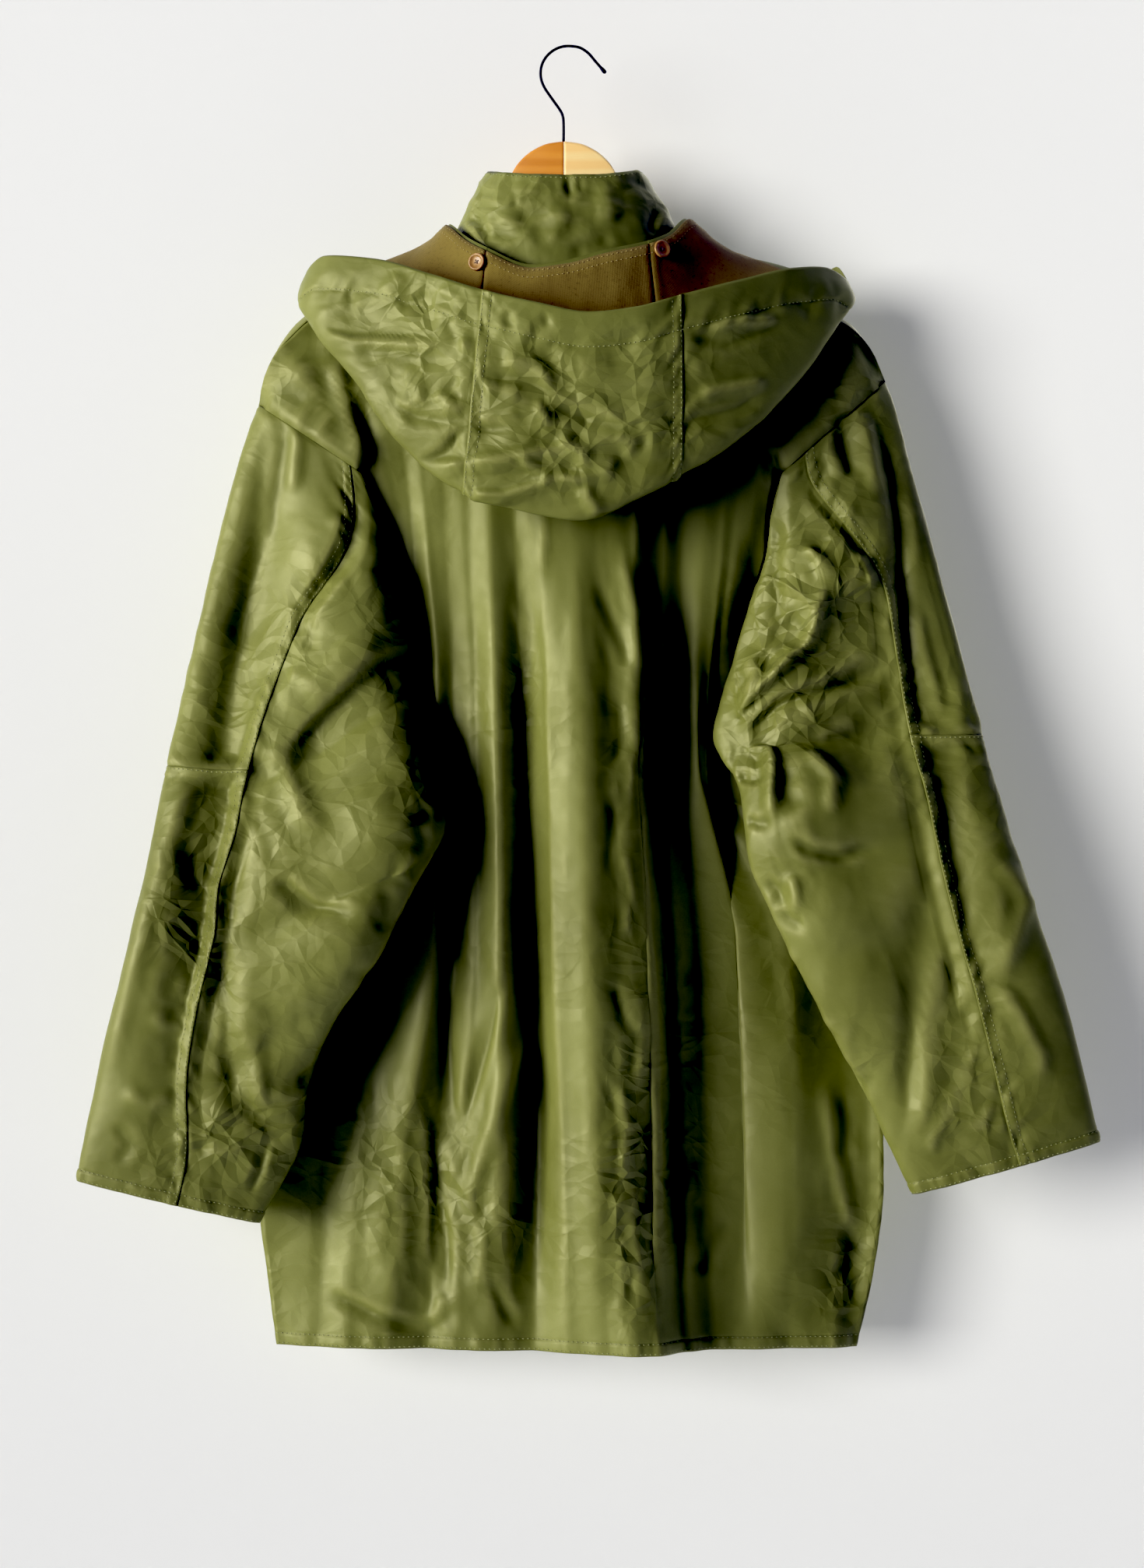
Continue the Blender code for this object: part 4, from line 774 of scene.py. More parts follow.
BACK_CREASES = [
    ([(704, 668), (699, 700), (694, 730)], 2.4, 4, "vee"),
    ([(752, 690), (754, 900), (760, 1200), (762, 1500), (766, 1735)], 4.0, 30, "fold"),
    ([(832, 690), (838, 800), (836, 950)], -3.0, 20, "fold"),
    ([(846, 850), (842, 1000), (846, 1300), (850, 1600), (860, 1800)], -12.0, 26, "fold"),
    ([(652, 650), (650, 850), (652, 1100), (650, 1400), (648, 1735)], 3.6, 14, "fold"),
    ([(690, 650), (690, 850), (692, 1100), (690, 1400), (686, 1735)], -5.5, 15, "fold"),
    ([(739, 660), (741, 720), (740, 780), (731, 900), (726, 1100), (724, 1260), (728, 1500)], 1.3, 10, "fold"),
    ([(930, 850), (938, 1050), (948, 1300), (956, 1500), (952, 1800)], -15.0, 36, "fold"),
    ([(1075, 1150), (1094, 1350), (1100, 1550), (1092, 1735)], -9.0, 48, "fold"),
    ([(1000, 1250), (1005, 1500), (1000, 1735)], 4.0, 30, "fold"),
    ([(795, 695), (812, 770), (818, 830), (814, 890)], 3.6, 8, "fold"),
    ([(762, 740), (794, 815), (817, 868)], -3.0, 8, "fold"),
    ([(657, 770), (671, 802), (664, 890)], 2.4, 6, "vee"),
    ([(790, 880), (800, 930), (792, 990)], -1.8, 5, "vee"),
    ([(806, 900), (818, 960), (808, 1040)], 1.8, 5, "vee"),
    ([(780, 1010), (788, 1060), (778, 1130)], -1.6, 5, "vee"),
    ([(800, 1080), (812, 1140), (803, 1220)], 1.8, 5, "vee"),
    ([(783, 1250), (800, 1310), (815, 1330), (806, 1400)], -3.0, 6, "vee"),
    ([(820, 1260), (832, 1330), (822, 1410)], 2.4, 6, "vee"),
    ([(792, 1380), (808, 1450), (800, 1540)], 2.6, 6, "vee"),
    ([(826, 1430), (838, 1500), (824, 1590)], -2.8, 6, "vee"),
    ([(800, 1560), (812, 1620), (806, 1700)], -2.0, 6, "vee"),
    ([(574, 1250), (574, 1334), (580, 1420), (590, 1500)], -5.0, 9, "fold"),
    ([(650, 1240), (626, 1343), (598, 1436), (592, 1496)], -4.0, 8, "lap"),
    ([(681, 1306), (644, 1404), (606, 1530), (596, 1600)], 4.0, 9, "vee"),
    ([(543, 1410), (546, 1506), (550, 1640)], 4.2, 8, "fold"),
    ([(562, 1480), (573, 1622), (578, 1660)], -4.0, 7, "fold"),
    ([(420, 1658), (455, 1674), (490, 1691), (520, 1698), (552, 1702)], -5.0, 9, "lap"),
    ([(552, 1700), (566, 1680), (574, 1662)], 3.4, 6, "vee"),
    ([(632, 1640), (645, 1675), (664, 1708)], -3.6, 7, "fold"),
    ([(500, 1480), (506, 1560), (498, 1640)], -2.4, 9, "fold"),
    ([(610, 1560), (622, 1600), (614, 1660)], 2.4, 7, "vee"),
    ([(1060, 1380), (1070, 1450), (1088, 1530), (1116, 1615)], 3.4, 8, "vee"),
    ([(1082, 1400), (1092, 1440), (1078, 1500)], -2.8, 6, "vee"),
    ([(1090, 1570), (1108, 1600), (1086, 1650)], -3.4, 8, "lap"),
    ([(1100, 1460), (1112, 1520), (1120, 1580)], 2.8, 6, "vee"),
    ([(900, 1640), (915, 1600), (930, 1560)], -3.0, 8, "fold")]

COLLAR_CREASES = [
    ([(728, 228), (731, 240), (734, 256)], -2.6, 5, "vee"),
    ([(748, 232), (742, 246)], -2.0, 4, "vee"),
    ([(658, 248), (661, 258), (664, 266)], -2.0, 3, "vee"),
    ([(606, 276), (618, 288), (630, 312)], -3.0, 5, "vee"),
    ([(596, 282), (612, 300), (622, 318)], 2.4, 5, "vee"),
    ([(640, 272), (672, 300), (690, 330)], 1.8, 8, "vee"),
    ([(700, 262), (722, 280), (704, 318)], 2.0, 8, "vee"),
    ([(662, 282), (690, 270), (724, 268)], -1.8, 7, "fold"),
    ([(770, 240), (784, 262), (778, 292)], 2.6, 9, "vee"),
    ([(735, 330), (752, 316), (790, 308)], -1.8, 6, "vee"),
    ([(846, 268), (838, 284), (836, 302)], -3.4, 6, "fold"),
    ([(862, 262), (850, 280), (846, 300)], 2.6, 6, "vee")]

# the folds by each shoulder run on over the seam, onto the back
BACK_CREASES += LEFT_CREASES[3:9] + RIGHT_CREASES[3:8] + [
    ([(400, 440), (416, 480), (440, 540), (452, 590)], -5.0, 12, "fold"),
    ([(372, 440), (352, 470), (340, 505)], 3.6, 12, "vee"),
    ([(462, 520), (474, 560), (480, 596)], -4.0, 9, "fold"),
    ([(1060, 420), (1046, 460), (1030, 500)], 3.4, 10, "vee"),
    ([(1120, 440), (1116, 480), (1104, 520)], -4.0, 10, "fold")]

# the same kind of creases on the sides that the photograph doesn't show: the
# lists above, moved and turned over, and softer
FRONT_CREASES = [
    ([(620, 420), (600, 560), (590, 760), (600, 960)], 5.0, 22, "fold"), ([(560, 480), (540, 700), (548, 900)], -5.0, 20, "fold"),
    ([(480, 640), (470, 900), (450, 1200), (440, 1500)], 6.0, 24, "fold"), ([(520, 900), (505, 1200), (515, 1700)], -6.0, 22, "fold"),
    ([(570, 1000), (590, 1300), (575, 1740)], 6.0, 22, "fold"), ([(640, 1100), (650, 1400), (640, 1740)], -5.0, 20, "fold"),
    ([(400, 1100), (390, 1400), (400, 1730)], -5.0, 20, "fold"), ([(850, 420), (870, 600), (860, 900)], 5.0, 22, "fold"),
    ([(930, 520), (940, 800), (930, 1000)], -5.0, 20, "fold"), ([(1010, 700), (1020, 1000), (1040, 1500)], 6.0, 24, "fold"),
    ([(880, 1000), (900, 1300), (890, 1740)], -6.0, 22, "fold"), ([(960, 1050), (970, 1400), (985, 1740)], 6.0, 22, "fold"),
    ([(830, 1200), (820, 1500), (830, 1740)], 5.0, 20, "fold"), ([(1070, 1200), (1080, 1500), (1060, 1730)], -5.0, 18, "fold"),
    ([(470, 560), (520, 600), (580, 610)], 3.0, 9, "vee"), ([(900, 590), (960, 570), (1010, 540)], 3.0, 9, "vee"),
    ([(420, 1560), (470, 1600), (540, 1610)], -3.0, 8, "lap"), ([(900, 1500), (970, 1540), (1040, 1530)], -3.0, 8, "lap"),
    ([(600, 700), (640, 740), (690, 750)], 2.6, 8, "vee"), ([(780, 880), (830, 900), (880, 880)], 2.6, 8, "vee"),
    ([(560, 1180), (610, 1210), (660, 1200)], -2.6, 8, "vee"), ([(860, 1240), (900, 1280), (960, 1280)], -2.6, 8, "vee")]


def moved(creases, dx, dy, mirror=None, soften=0.7):
    out = []
    for way, depth, wide, kind in creases:
        pts = [((mirror - x if mirror else x) + dx, y + dy) for x, y in way]
        out.append((pts, depth * soften, wide * 1.15, kind))
    return out


# ------------------------------------------------------------- grids and relief
def dense(a, n):
    """n values spread along the list a, its own entries among them in order."""
    a = np.asarray(a, float)
    return np.interp(np.linspace(0, len(a) - 1, n), np.arange(len(a)), a)


def closer(g, side, reach, step):
    """More rows (or columns) near one border, for hems and seams."""
    if side in ("first", "last"):
        return np.swapaxes(closer(np.swapaxes(g, 0, 1), {"first": "top", "last": "bottom"}[side], reach, step), 0, 1)
    if side == "bottom":
        return closer(g[::-1], "top", reach, step)[::-1]
    d = np.concatenate([[0], np.cumsum(np.linalg.norm(np.diff(g, axis=0), axis=-1).mean(1))])
    k = int(np.searchsorted(d, reach))
    if k >= len(d) - 1 or k < 1:
        return g
    new = np.arange(0, d[k] - step * 0.5, step)
    i = np.clip(np.searchsorted(d, new, side="right") - 1, 0, len(d) - 2)
    f = ((new - d[i]) / (d[i + 1] - d[i]))[:, None, None]
    return np.concatenate([g[i] * (1 - f) + g[i + 1] * f, g[k:]])


def grown(g, side, far):
    """The grid carried on past one border by far mm, to lie over its neighbour."""
    if side in ("first", "last"):
        return np.swapaxes(grown(np.swapaxes(g, 0, 1), {"first": "top", "last": "bottom"}[side], far), 0, 1)
    if side == "bottom":
        return grown(g[::-1], "top", far)[::-1]
    way = g[0] - g[2]
    way = way / np.maximum(np.linalg.norm(way, axis=-1, keepdims=True), 1e-6)
    return np.concatenate([(g[0] + way * far)[None], g])


def reach_from(g, side):
    """For each point: how far it is from that border, and how far along it."""
    if side in ("first", "last"):
        d, s = reach_from(np.swapaxes(g, 0, 1), {"first": "top", "last": "bottom"}[side])
        return d.T, s.T
    if side == "bottom":
        d, s = reach_from(g[::-1], "top")
        return d[::-1], s[::-1]
    d = np.concatenate([np.zeros((1, g.shape[1])), np.cumsum(np.linalg.norm(np.diff(g, axis=0), axis=-1), 0)])
    s = np.concatenate([[0], np.cumsum(np.linalg.norm(np.diff(g[0], axis=0), axis=-1))])
    return d, np.broadcast_to(s[None, :], d.shape)


def blur(a, times=1):
    for _ in range(times):
        p = np.concatenate([a[:1], a, a[-1:]])
        a = 0.25 * p[:-2] + 0.5 * p[1:-1] + 0.25 * p[2:]
        p = np.concatenate([a[:, :1], a, a[:, -1:]], 1)
        a = 0.25 * p[:, :-2] + 0.5 * p[:, 1:-1] + 0.25 * p[:, 2:]
    return a


def unit(n):
    return n / np.maximum(np.linalg.norm(n, axis=-1, keepdims=True), 1e-9)


def line_noise(s, size, seed, across=None):
    z = np.zeros_like(s) if across is None else across
    return soft(np.stack([s, z, np.zeros_like(s) + seed * 3.7], -1), size, seed)


def relief(g, out, creases=(), rough=(), seams=(), hidden=False):
    """Height of the relief on a grid (mm, outwards), and its outward normals.

    creases: listed lines; rough: (amplitude, size, seed, long, mask) sets
    of crumples; seams: (border, kind) with kind over, under, plain, hem, casing or free.
    """
    n = unit(blur(normals(g), 3)) * out
    px, py = to_photo(g)
    h = np.zeros(g.shape[:2])
    if creases:
        facing = np.clip((n[..., 1] if hidden else -n[..., 1]) * 1.4, 0, 1) ** 0.8
        for way, depth, wide, kind in creases:
            h += crease(px, py, way, depth * (1.15 if kind != "fold" or wide > 20 else 0.85), wide, kind)
        h = blur(h, 1) * facing
    for amp, size, seed, long, mask in rough:
        m = mask(px, py) if callable(mask) else mask
        h += amp * m * crumple(g, size, seed, long)
    for border, kind in seams:
        d, s = reach_from(g, border)
        if kind == "hem":
            h = h * (0.45 + 0.55 * smooth(d / 26))
        elif kind != "free":
            h = h * (0.3 + 0.7 * smooth(d / 14))
        if kind == "over":         # felled seam: the band by the edge is doubled and puckers
            free = smooth(d / 5)
            h += 0.42 * smooth((8.6 - d) / 1.4) - 0.25 * np.exp(-((d - 8.2) / 0.9) ** 2)
            h += 1.3 * free * np.exp(-((d - 6) / 7.5) ** 2) * line_noise(s + 0.8 * d, 5.5, 5, d * 0.22)
            h += 1.7 * free * np.exp(-(d / 17) ** 2) * line_noise(s + 0.5 * d, 13, 8, d * 0.3)
        elif kind == "under":
            free = smooth(d / 5)
            h += -0.45 * smooth((3.0 - d) / 2.0)
            h += 1.1 * free * np.exp(-(d / 10) ** 2) * line_noise(s - 0.6 * d, 6.5, 6, d * 0.25)
            h += 1.6 * free * np.exp(-(d / 19) ** 2) * line_noise(s - 0.5 * d, 14, 9, d * 0.3)
        elif kind == "plain":
            h += -0.4 * np.exp(-(d / 1.1) ** 2)
            h += 0.9 * np.exp(-(d / 9) ** 2) * line_noise(s, 8, 7, d * 0.25)
        elif kind == "hem":        # turned up twice, stitched at its edge and 9 mm in
            h += 0.7 * smooth((9.6 - d) / 1.2) - 0.6 * np.exp(-((d - 9.2) / 0.9) ** 2) - 0.35 * np.exp(-((d - 1.6) / 0.8) ** 2)
            h += -0.5 * np.exp(-(d / 0.7) ** 2)
            h += 0.95 * np.exp(-((d - 5) / 6) ** 2) * line_noise(s, 5.0, 12, d * 0.12)
            h += 0.9 * np.exp(-(d / 20) ** 2) * line_noise(s, 15, 13, d * 0.2)
        elif kind == "casing":     # a wide hem with a stitched line 27 mm in
            h += 0.6 * smooth((27.6 - d) / 1.6) - 0.9 * np.exp(-((d - 27) / 1.2) ** 2)
            h += 1.7 * np.exp(-((d - 27) / 9) ** 2) * line_noise(s + 0.4 * d, 9, 15, d * 0.3)
            h += -0.4 * np.exp(-(d / 0.8) ** 2)
    return h, n


# ---------------------------------------------------------------- materials
def nodes_of(name):
    m = bpy.data.materials.new(name)
    m.use_nodes = True
    t = m.node_tree
    return m, t, t.nodes["Principled BSDF"]


def add(t, kind, **inputs):
    n = t.nodes.new(kind)
    for k, v in inputs.items():
        if k.startswith("p_"):
            setattr(n, k[2:], v)
        else:
            n.inputs[k.replace("_", " ")].default_value = v
    return n


def ramp(t, source, stops):
    r = t.nodes.new("ShaderNodeValToRGB")
    while len(r.color_ramp.elements) < len(stops):
        r.color_ramp.elements.new(0.5)
    for e, (pos, col) in zip(r.color_ramp.elements, stops):
        e.position = pos
        e.color = (*col, 1) if len(col) == 3 else (col[0],) * 3 + (1,)
    t.links.new(source, r.inputs["Fac"])
    return r.outputs["Color"]


def mixed(t, fac, a, b, blend="MIX"):
    m = t.nodes.new("ShaderNodeMix")
    m.data_type = "RGBA"
    m.blend_type = blend
    for sock, v in ((m.inputs["Factor"], fac), (m.inputs["A"], a), (m.inputs["B"], b)):
        if hasattr(v, "is_output"):
            t.links.new(v, sock)
        else:
            sock.default_value = v
    return m.outputs["Result"]


def maths(t, op, a, b=None, clamp=False):
    m = t.nodes.new("ShaderNodeMath")
    m.operation = op
    m.use_clamp = clamp
    for k, v in enumerate((a, b)):
        if v is None:
            continue
        if hasattr(v, "is_output"):
            t.links.new(v, m.inputs[k])
        else:
            m.inputs[k].default_value = v
    return m.outputs[0]


def noise(t, vec, scale, detail=3.0, rough=0.5, distort=0.0):
    n = add(t, "ShaderNodeTexNoise", Scale=scale, Detail=detail, Roughness=rough, Distortion=distort)
    t.links.new(vec, n.inputs["Vector"])
    return n.outputs["Fac"]


def weave(t, per_m, lean=0.0):
    """Over and under of a plain weave, from the cloth's own UV in metres."""
    uv = add(t, "ShaderNodeUVMap", p_uv_map="cloth")
    turn = add(t, "ShaderNodeMapping", Rotation=(0, 0, lean))
    t.links.new(uv.outputs["UV"], turn.inputs["Vector"])
    out = []
    for way in ("X", "Y"):
        w = add(t, "ShaderNodeTexWave", p_bands_direction=way, p_wave_profile="SIN", Scale=per_m * math.tau / 20, Distortion=0.0, Detail=0.0)
        t.links.new(turn.outputs["Vector"], w.inputs["Vector"])
        out.append(w.outputs["Fac"])
    return maths(t, "MULTIPLY", out[0], out[1])


def bumps(t, b, chain):
    """A chain of bump nodes: (height, metres, strength)."""
    last = None
    for height, far, strength in chain:
        n = add(t, "ShaderNodeBump", Strength=strength, Distance=far)
        t.links.new(height, n.inputs["Height"])
        if last is not None:
            t.links.new(last, n.inputs["Normal"])
        last = n.outputs["Normal"]
    t.links.new(last, b.inputs["Normal"])


def shell_material(name, dark, mid, light, rough=(0.42, 0.56)):
    """Coated cotton: a weave too close to see under its coating, lighter where it has been
    creased and along its seams, darker in its hollows as painted shade, with a soft uneven gloss."""
    m, t, b = nodes_of(name)
    obj = add(t, "ShaderNodeTexCoord").outputs["Object"]
    broad = noise(t, obj, 7.0, 1.0, 0.55, 0.0)
    patch = noise(t, obj, 38.0, 2.0, 0.6, 0.0)
    speck = noise(t, obj, 900.0, 0.0, 0.6)
    base = ramp(t, broad, [(0.30, dark), (0.52, mid), (0.74, light)])
    base = mixed(t, maths(t, "MULTIPLY", ramp(t, patch, [(0.35, (0.0,)), (0.7, (1.0,))]), 0.22), base, (*light, 1))
    wear = add(t, "ShaderNodeAttribute", p_attribute_name="wear").outputs["Fac"]
    base = mixed(t, maths(t, "MULTIPLY", wear, 0.42), base, (light[0] * 1.35, light[1] * 1.28, light[2] * 1.6, 1))
    # painted shade: the colour darkens where the cloth sits below its neighbours, in the hollows of its creases
    hollow_shade = add(t, "ShaderNodeAttribute", p_attribute_name="hollow_shade").outputs["Fac"]
    base = mixed(t, maths(t, "MULTIPLY", hollow_shade, 0.35), base, (dark[0] * 0.7, dark[1] * 0.72, dark[2] * 0.6, 1))
    base = mixed(t, maths(t, "MULTIPLY", speck, 0.16), base, (dark[0] * 0.8, dark[1] * 0.8, dark[2] * 0.7, 1))
    t.links.new(base, b.inputs["Base Color"])
    gloss = ramp(t, patch, [(0.3, (rough[0],)), (0.7, (rough[1],))])
    t.links.new(gloss, b.inputs["Roughness"])
    b.inputs["Specular IOR Level"].default_value = 0.6
    b.inputs["Specular Tint"].default_value = (1.0, 0.98, 0.62, 1)
    b.inputs["Sheen Weight"].default_value = 0.04
    b.inputs["Sheen Roughness"].default_value = 0.45
    b.inputs["Sheen Tint"].default_value = (0.75, 0.8, 0.55, 1)
    busy = add(t, "ShaderNodeAttribute", p_attribute_name="busy").outputs["Fac"]
    busy = maths(t, "MULTIPLY_ADD", busy, 0.85)
    busy.node.inputs[2].default_value = 0.15
    bend = add(t, "ShaderNodeTexNoise", Scale=22.0, Detail=0.0)
    t.links.new(obj, bend.inputs["Vector"])
    way = add(t, "ShaderNodeMix", p_data_type="VECTOR")
    way.inputs["Factor"].default_value = 0.022
    t.links.new(obj, way.inputs["A"])
    t.links.new(bend.outputs["Color"], way.inputs["B"])
    some = ramp(t, noise(t, obj, 6.0, 0.0, 0.5, 0.0), [(0.38, (0.12,)), (0.62, (1.0,))])
    total = 0.0
    for size, far, lay in ((21.0, 0.0120, (0.4, 0.2, 0.5)), (50.0, 0.0050, (1.1, 0.3, 0.2))):
        turn = add(t, "ShaderNodeMapping", Rotation=lay, Scale=(1.0, 0.8, 1.3))
        t.links.new(way.outputs["Result"], turn.inputs["Vector"])
        flats = add(t, "ShaderNodeTexVoronoi", p_feature="DISTANCE_TO_EDGE", Scale=size, Randomness=1.0)
        t.links.new(turn.outputs["Vector"], flats.inputs["Vector"])
        total = maths(t, "ADD", maths(t, "MULTIPLY", flats.outputs["Distance"], far / 0.0120), total)
    height = maths(t, "SUBTRACT", 1.0, maths(t, "MULTIPLY", maths(t, "MULTIPLY", total, some), busy))
    bumps(t, b, [(height, 0.0120, 1.0)])
    return m


def canvas_material(name):
    """The lining: matt close canvas, brownish olive, with slubs."""
    m, t, b = nodes_of(name)
    obj = add(t, "ShaderNodeTexCoord").outputs["Object"]
    base = ramp(t, noise(t, obj, 9.0, 3.0, 0.6, 0.4), [(0.3, (0.215, 0.162, 0.030)), (0.7, (0.345, 0.268, 0.052))])
    w = weave(t, 1100)
    base = mixed(t, maths(t, "MULTIPLY", w, 0.45), base, (0.40, 0.32, 0.085, 1))
    slub = noise(t, obj, 420.0, 2.0, 0.7)
    base = mixed(t, ramp(t, slub, [(0.55, (0.0,)), (0.8, (0.5,))]), base, (0.075, 0.052, 0.014, 1))
    # painted shade: the lining darkens in its hollows, where it sits below its neighbours
    hollow_shade = add(t, "ShaderNodeAttribute", p_attribute_name="hollow_shade").outputs["Fac"]
    base = mixed(t, maths(t, "MULTIPLY", hollow_shade, 0.4), base, (0.05, 0.034, 0.010, 1))
    t.links.new(base, b.inputs["Base Color"])
    t.links.new(ramp(t, slub, [(0.2, (0.82,)), (0.8, (0.95,))]), b.inputs["Roughness"])
    b.inputs["Specular IOR Level"].default_value = 0.2
    b.inputs["Sheen Weight"].default_value = 0.12
    b.inputs["Sheen Roughness"].default_value = 0.6
    bumps(t, b, [(noise(t, obj, 70.0, 3.0, 0.5, 0.6), 0.0014, 0.25), (w, 0.0003, 0.6)])
    return m


def thread_material(name, a, c):
    m, t, b = nodes_of(name)
    obj = add(t, "ShaderNodeTexCoord").outputs["Object"]
    t.links.new(ramp(t, noise(t, obj, 240.0, 2.0), [(0.3, a), (0.7, c)]), b.inputs["Base Color"])
    b.inputs["Roughness"].default_value = 0.7
    bumps(t, b, [(noise(t, obj, 3000.0, 1.0), 0.0001, 0.4)])
    return m


def wood_material(name, dark, mid, light, shift):
    """Varnished wood: long grain along the arm, fine pores, a soft gloss."""
    m, t, b = nodes_of(name)
    obj = add(t, "ShaderNodeTexCoord").outputs["Object"]
    lay = add(t, "ShaderNodeMapping", Location=(shift, 0, shift * 0.7), Rotation=(0, 0.35 if shift > 1 else -0.3, 0), Scale=(1.0, 5.0, 9.0))
    t.links.new(obj, lay.inputs["Vector"])
    v = lay.outputs["Vector"]
    rings = add(t, "ShaderNodeTexWave", p_bands_direction="Z", Scale=2.4, Distortion=5.0, Detail=3.0)
    rings.inputs["Detail Scale"].default_value = 1.6
    t.links.new(v, rings.inputs["Vector"])
    base = ramp(t, rings.outputs["Fac"], [(0.15, dark), (0.5, mid), (0.9, light)])
    streak = noise(t, v, 60.0, 4.0, 0.65, 0.3)
    base = mixed(t, maths(t, "MULTIPLY", ramp(t, streak, [(0.45, (0.0,)), (0.75, (1.0,))]), 0.35), base, (*dark, 1))
    base = mixed(t, maths(t, "MULTIPLY", noise(t, obj, 14.0, 2.0), 0.4), base, (*light, 1))
    t.links.new(base, b.inputs["Base Color"])
    t.links.new(ramp(t, streak, [(0.3, (0.34,)), (0.7, (0.50,))]), b.inputs["Roughness"])
    b.inputs["Coat Weight"].default_value = 0.25
    b.inputs["Coat Roughness"].default_value = 0.25
    bumps(t, b, [(streak, 0.0002, 0.35)])
    return m


def wire_material(name):
    m, t, b = nodes_of(name)
    obj = add(t, "ShaderNodeTexCoord").outputs["Object"]
    n = noise(t, obj, 500.0, 3.0, 0.6)
    t.links.new(ramp(t, n, [(0.3, (0.006, 0.006, 0.007)), (0.75, (0.022, 0.021, 0.020))]), b.inputs["Base Color"])
    t.links.new(ramp(t, n, [(0.3, (0.30,)), (0.7, (0.46,))]), b.inputs["Roughness"])
    b.inputs["Metallic"].default_value = 0.6
    bumps(t, b, [(n, 0.0001, 0.3)])
    return m


def button_material(name):
    m, t, b = nodes_of(name)
    obj = add(t, "ShaderNodeTexCoord").outputs["Object"]
    n = noise(t, obj, 160.0, 4.0, 0.6, 1.2)
    t.links.new(ramp(t, n, [(0.25, (0.30, 0.160, 0.035)), (0.5, (0.46, 0.265, 0.070)), (0.8, (0.60, 0.375, 0.120))]), b.inputs["Base Color"])
    t.links.new(ramp(t, n, [(0.3, (0.30,)), (0.7, (0.42,))]), b.inputs["Roughness"])
    b.inputs["Coat Weight"].default_value = 0.2
    bumps(t, b, [(n, 0.0001, 0.3)])
    return m


SHELL = shell_material("coated_cotton", (0.192, 0.203, 0.043), (0.240, 0.253, 0.058), (0.284, 0.299, 0.078))
CANVAS = canvas_material("lining_canvas_cloth")
THREAD = thread_material("green_thread", (0.36, 0.38, 0.14), (0.47, 0.49, 0.20))
CANVAS_THREAD = thread_material("olive_thread", (0.44, 0.36, 0.12), (0.54, 0.45, 0.17))
COTTON = thread_material("button_thread", (0.30, 0.24, 0.14), (0.42, 0.34, 0.22))
# painted light and shade: the two arms are one wood, given a darker copy of its colour on the left as painted shade and
# a much lighter copy on the right as painted light
WOOD_PAINTED_SHADE = wood_material("wood_left_painted_shade", (0.62, 0.250, 0.026), (0.69, 0.290, 0.034), (0.74, 0.330, 0.046), 0.0)
WOOD_PAINTED_LIGHT = wood_material("wood_right_painted_light", (0.94, 0.63, 0.24), (0.96, 0.69, 0.29), (0.97, 0.74, 0.34), 1.7)
WIRE = wire_material("black_wire")
BUTTON = button_material("horn_button")


# ------------------------------------------------------------------- meshes
def put(name, verts, faces, mat, nodes=(), smooth_shade=True):
    me = bpy.data.meshes.new(name)
    verts = np.asarray(verts, float) * MM
    me.from_pydata(verts.tolist(), [], faces)
    me.materials.append(mat)
    if smooth_shade:
        me.shade_smooth()
    ob = bpy.data.objects.new(name, me)
    bpy.context.scene.collection.objects.link(ob)
    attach(ob, "root")
    if nodes:
        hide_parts(*nodes)
    return ob


def quads(rows, cols, start=0, flip=False):
    i, j = np.meshgrid(np.arange(rows - 1), np.arange(cols - 1), indexing="ij")
    a = (start + i * cols + j).ravel()
    q = np.stack([a, a + cols, a + cols + 1, a + 1], -1)
    return q[:, ::-1] if flip else q


PIECES = {}
AREAS = {}


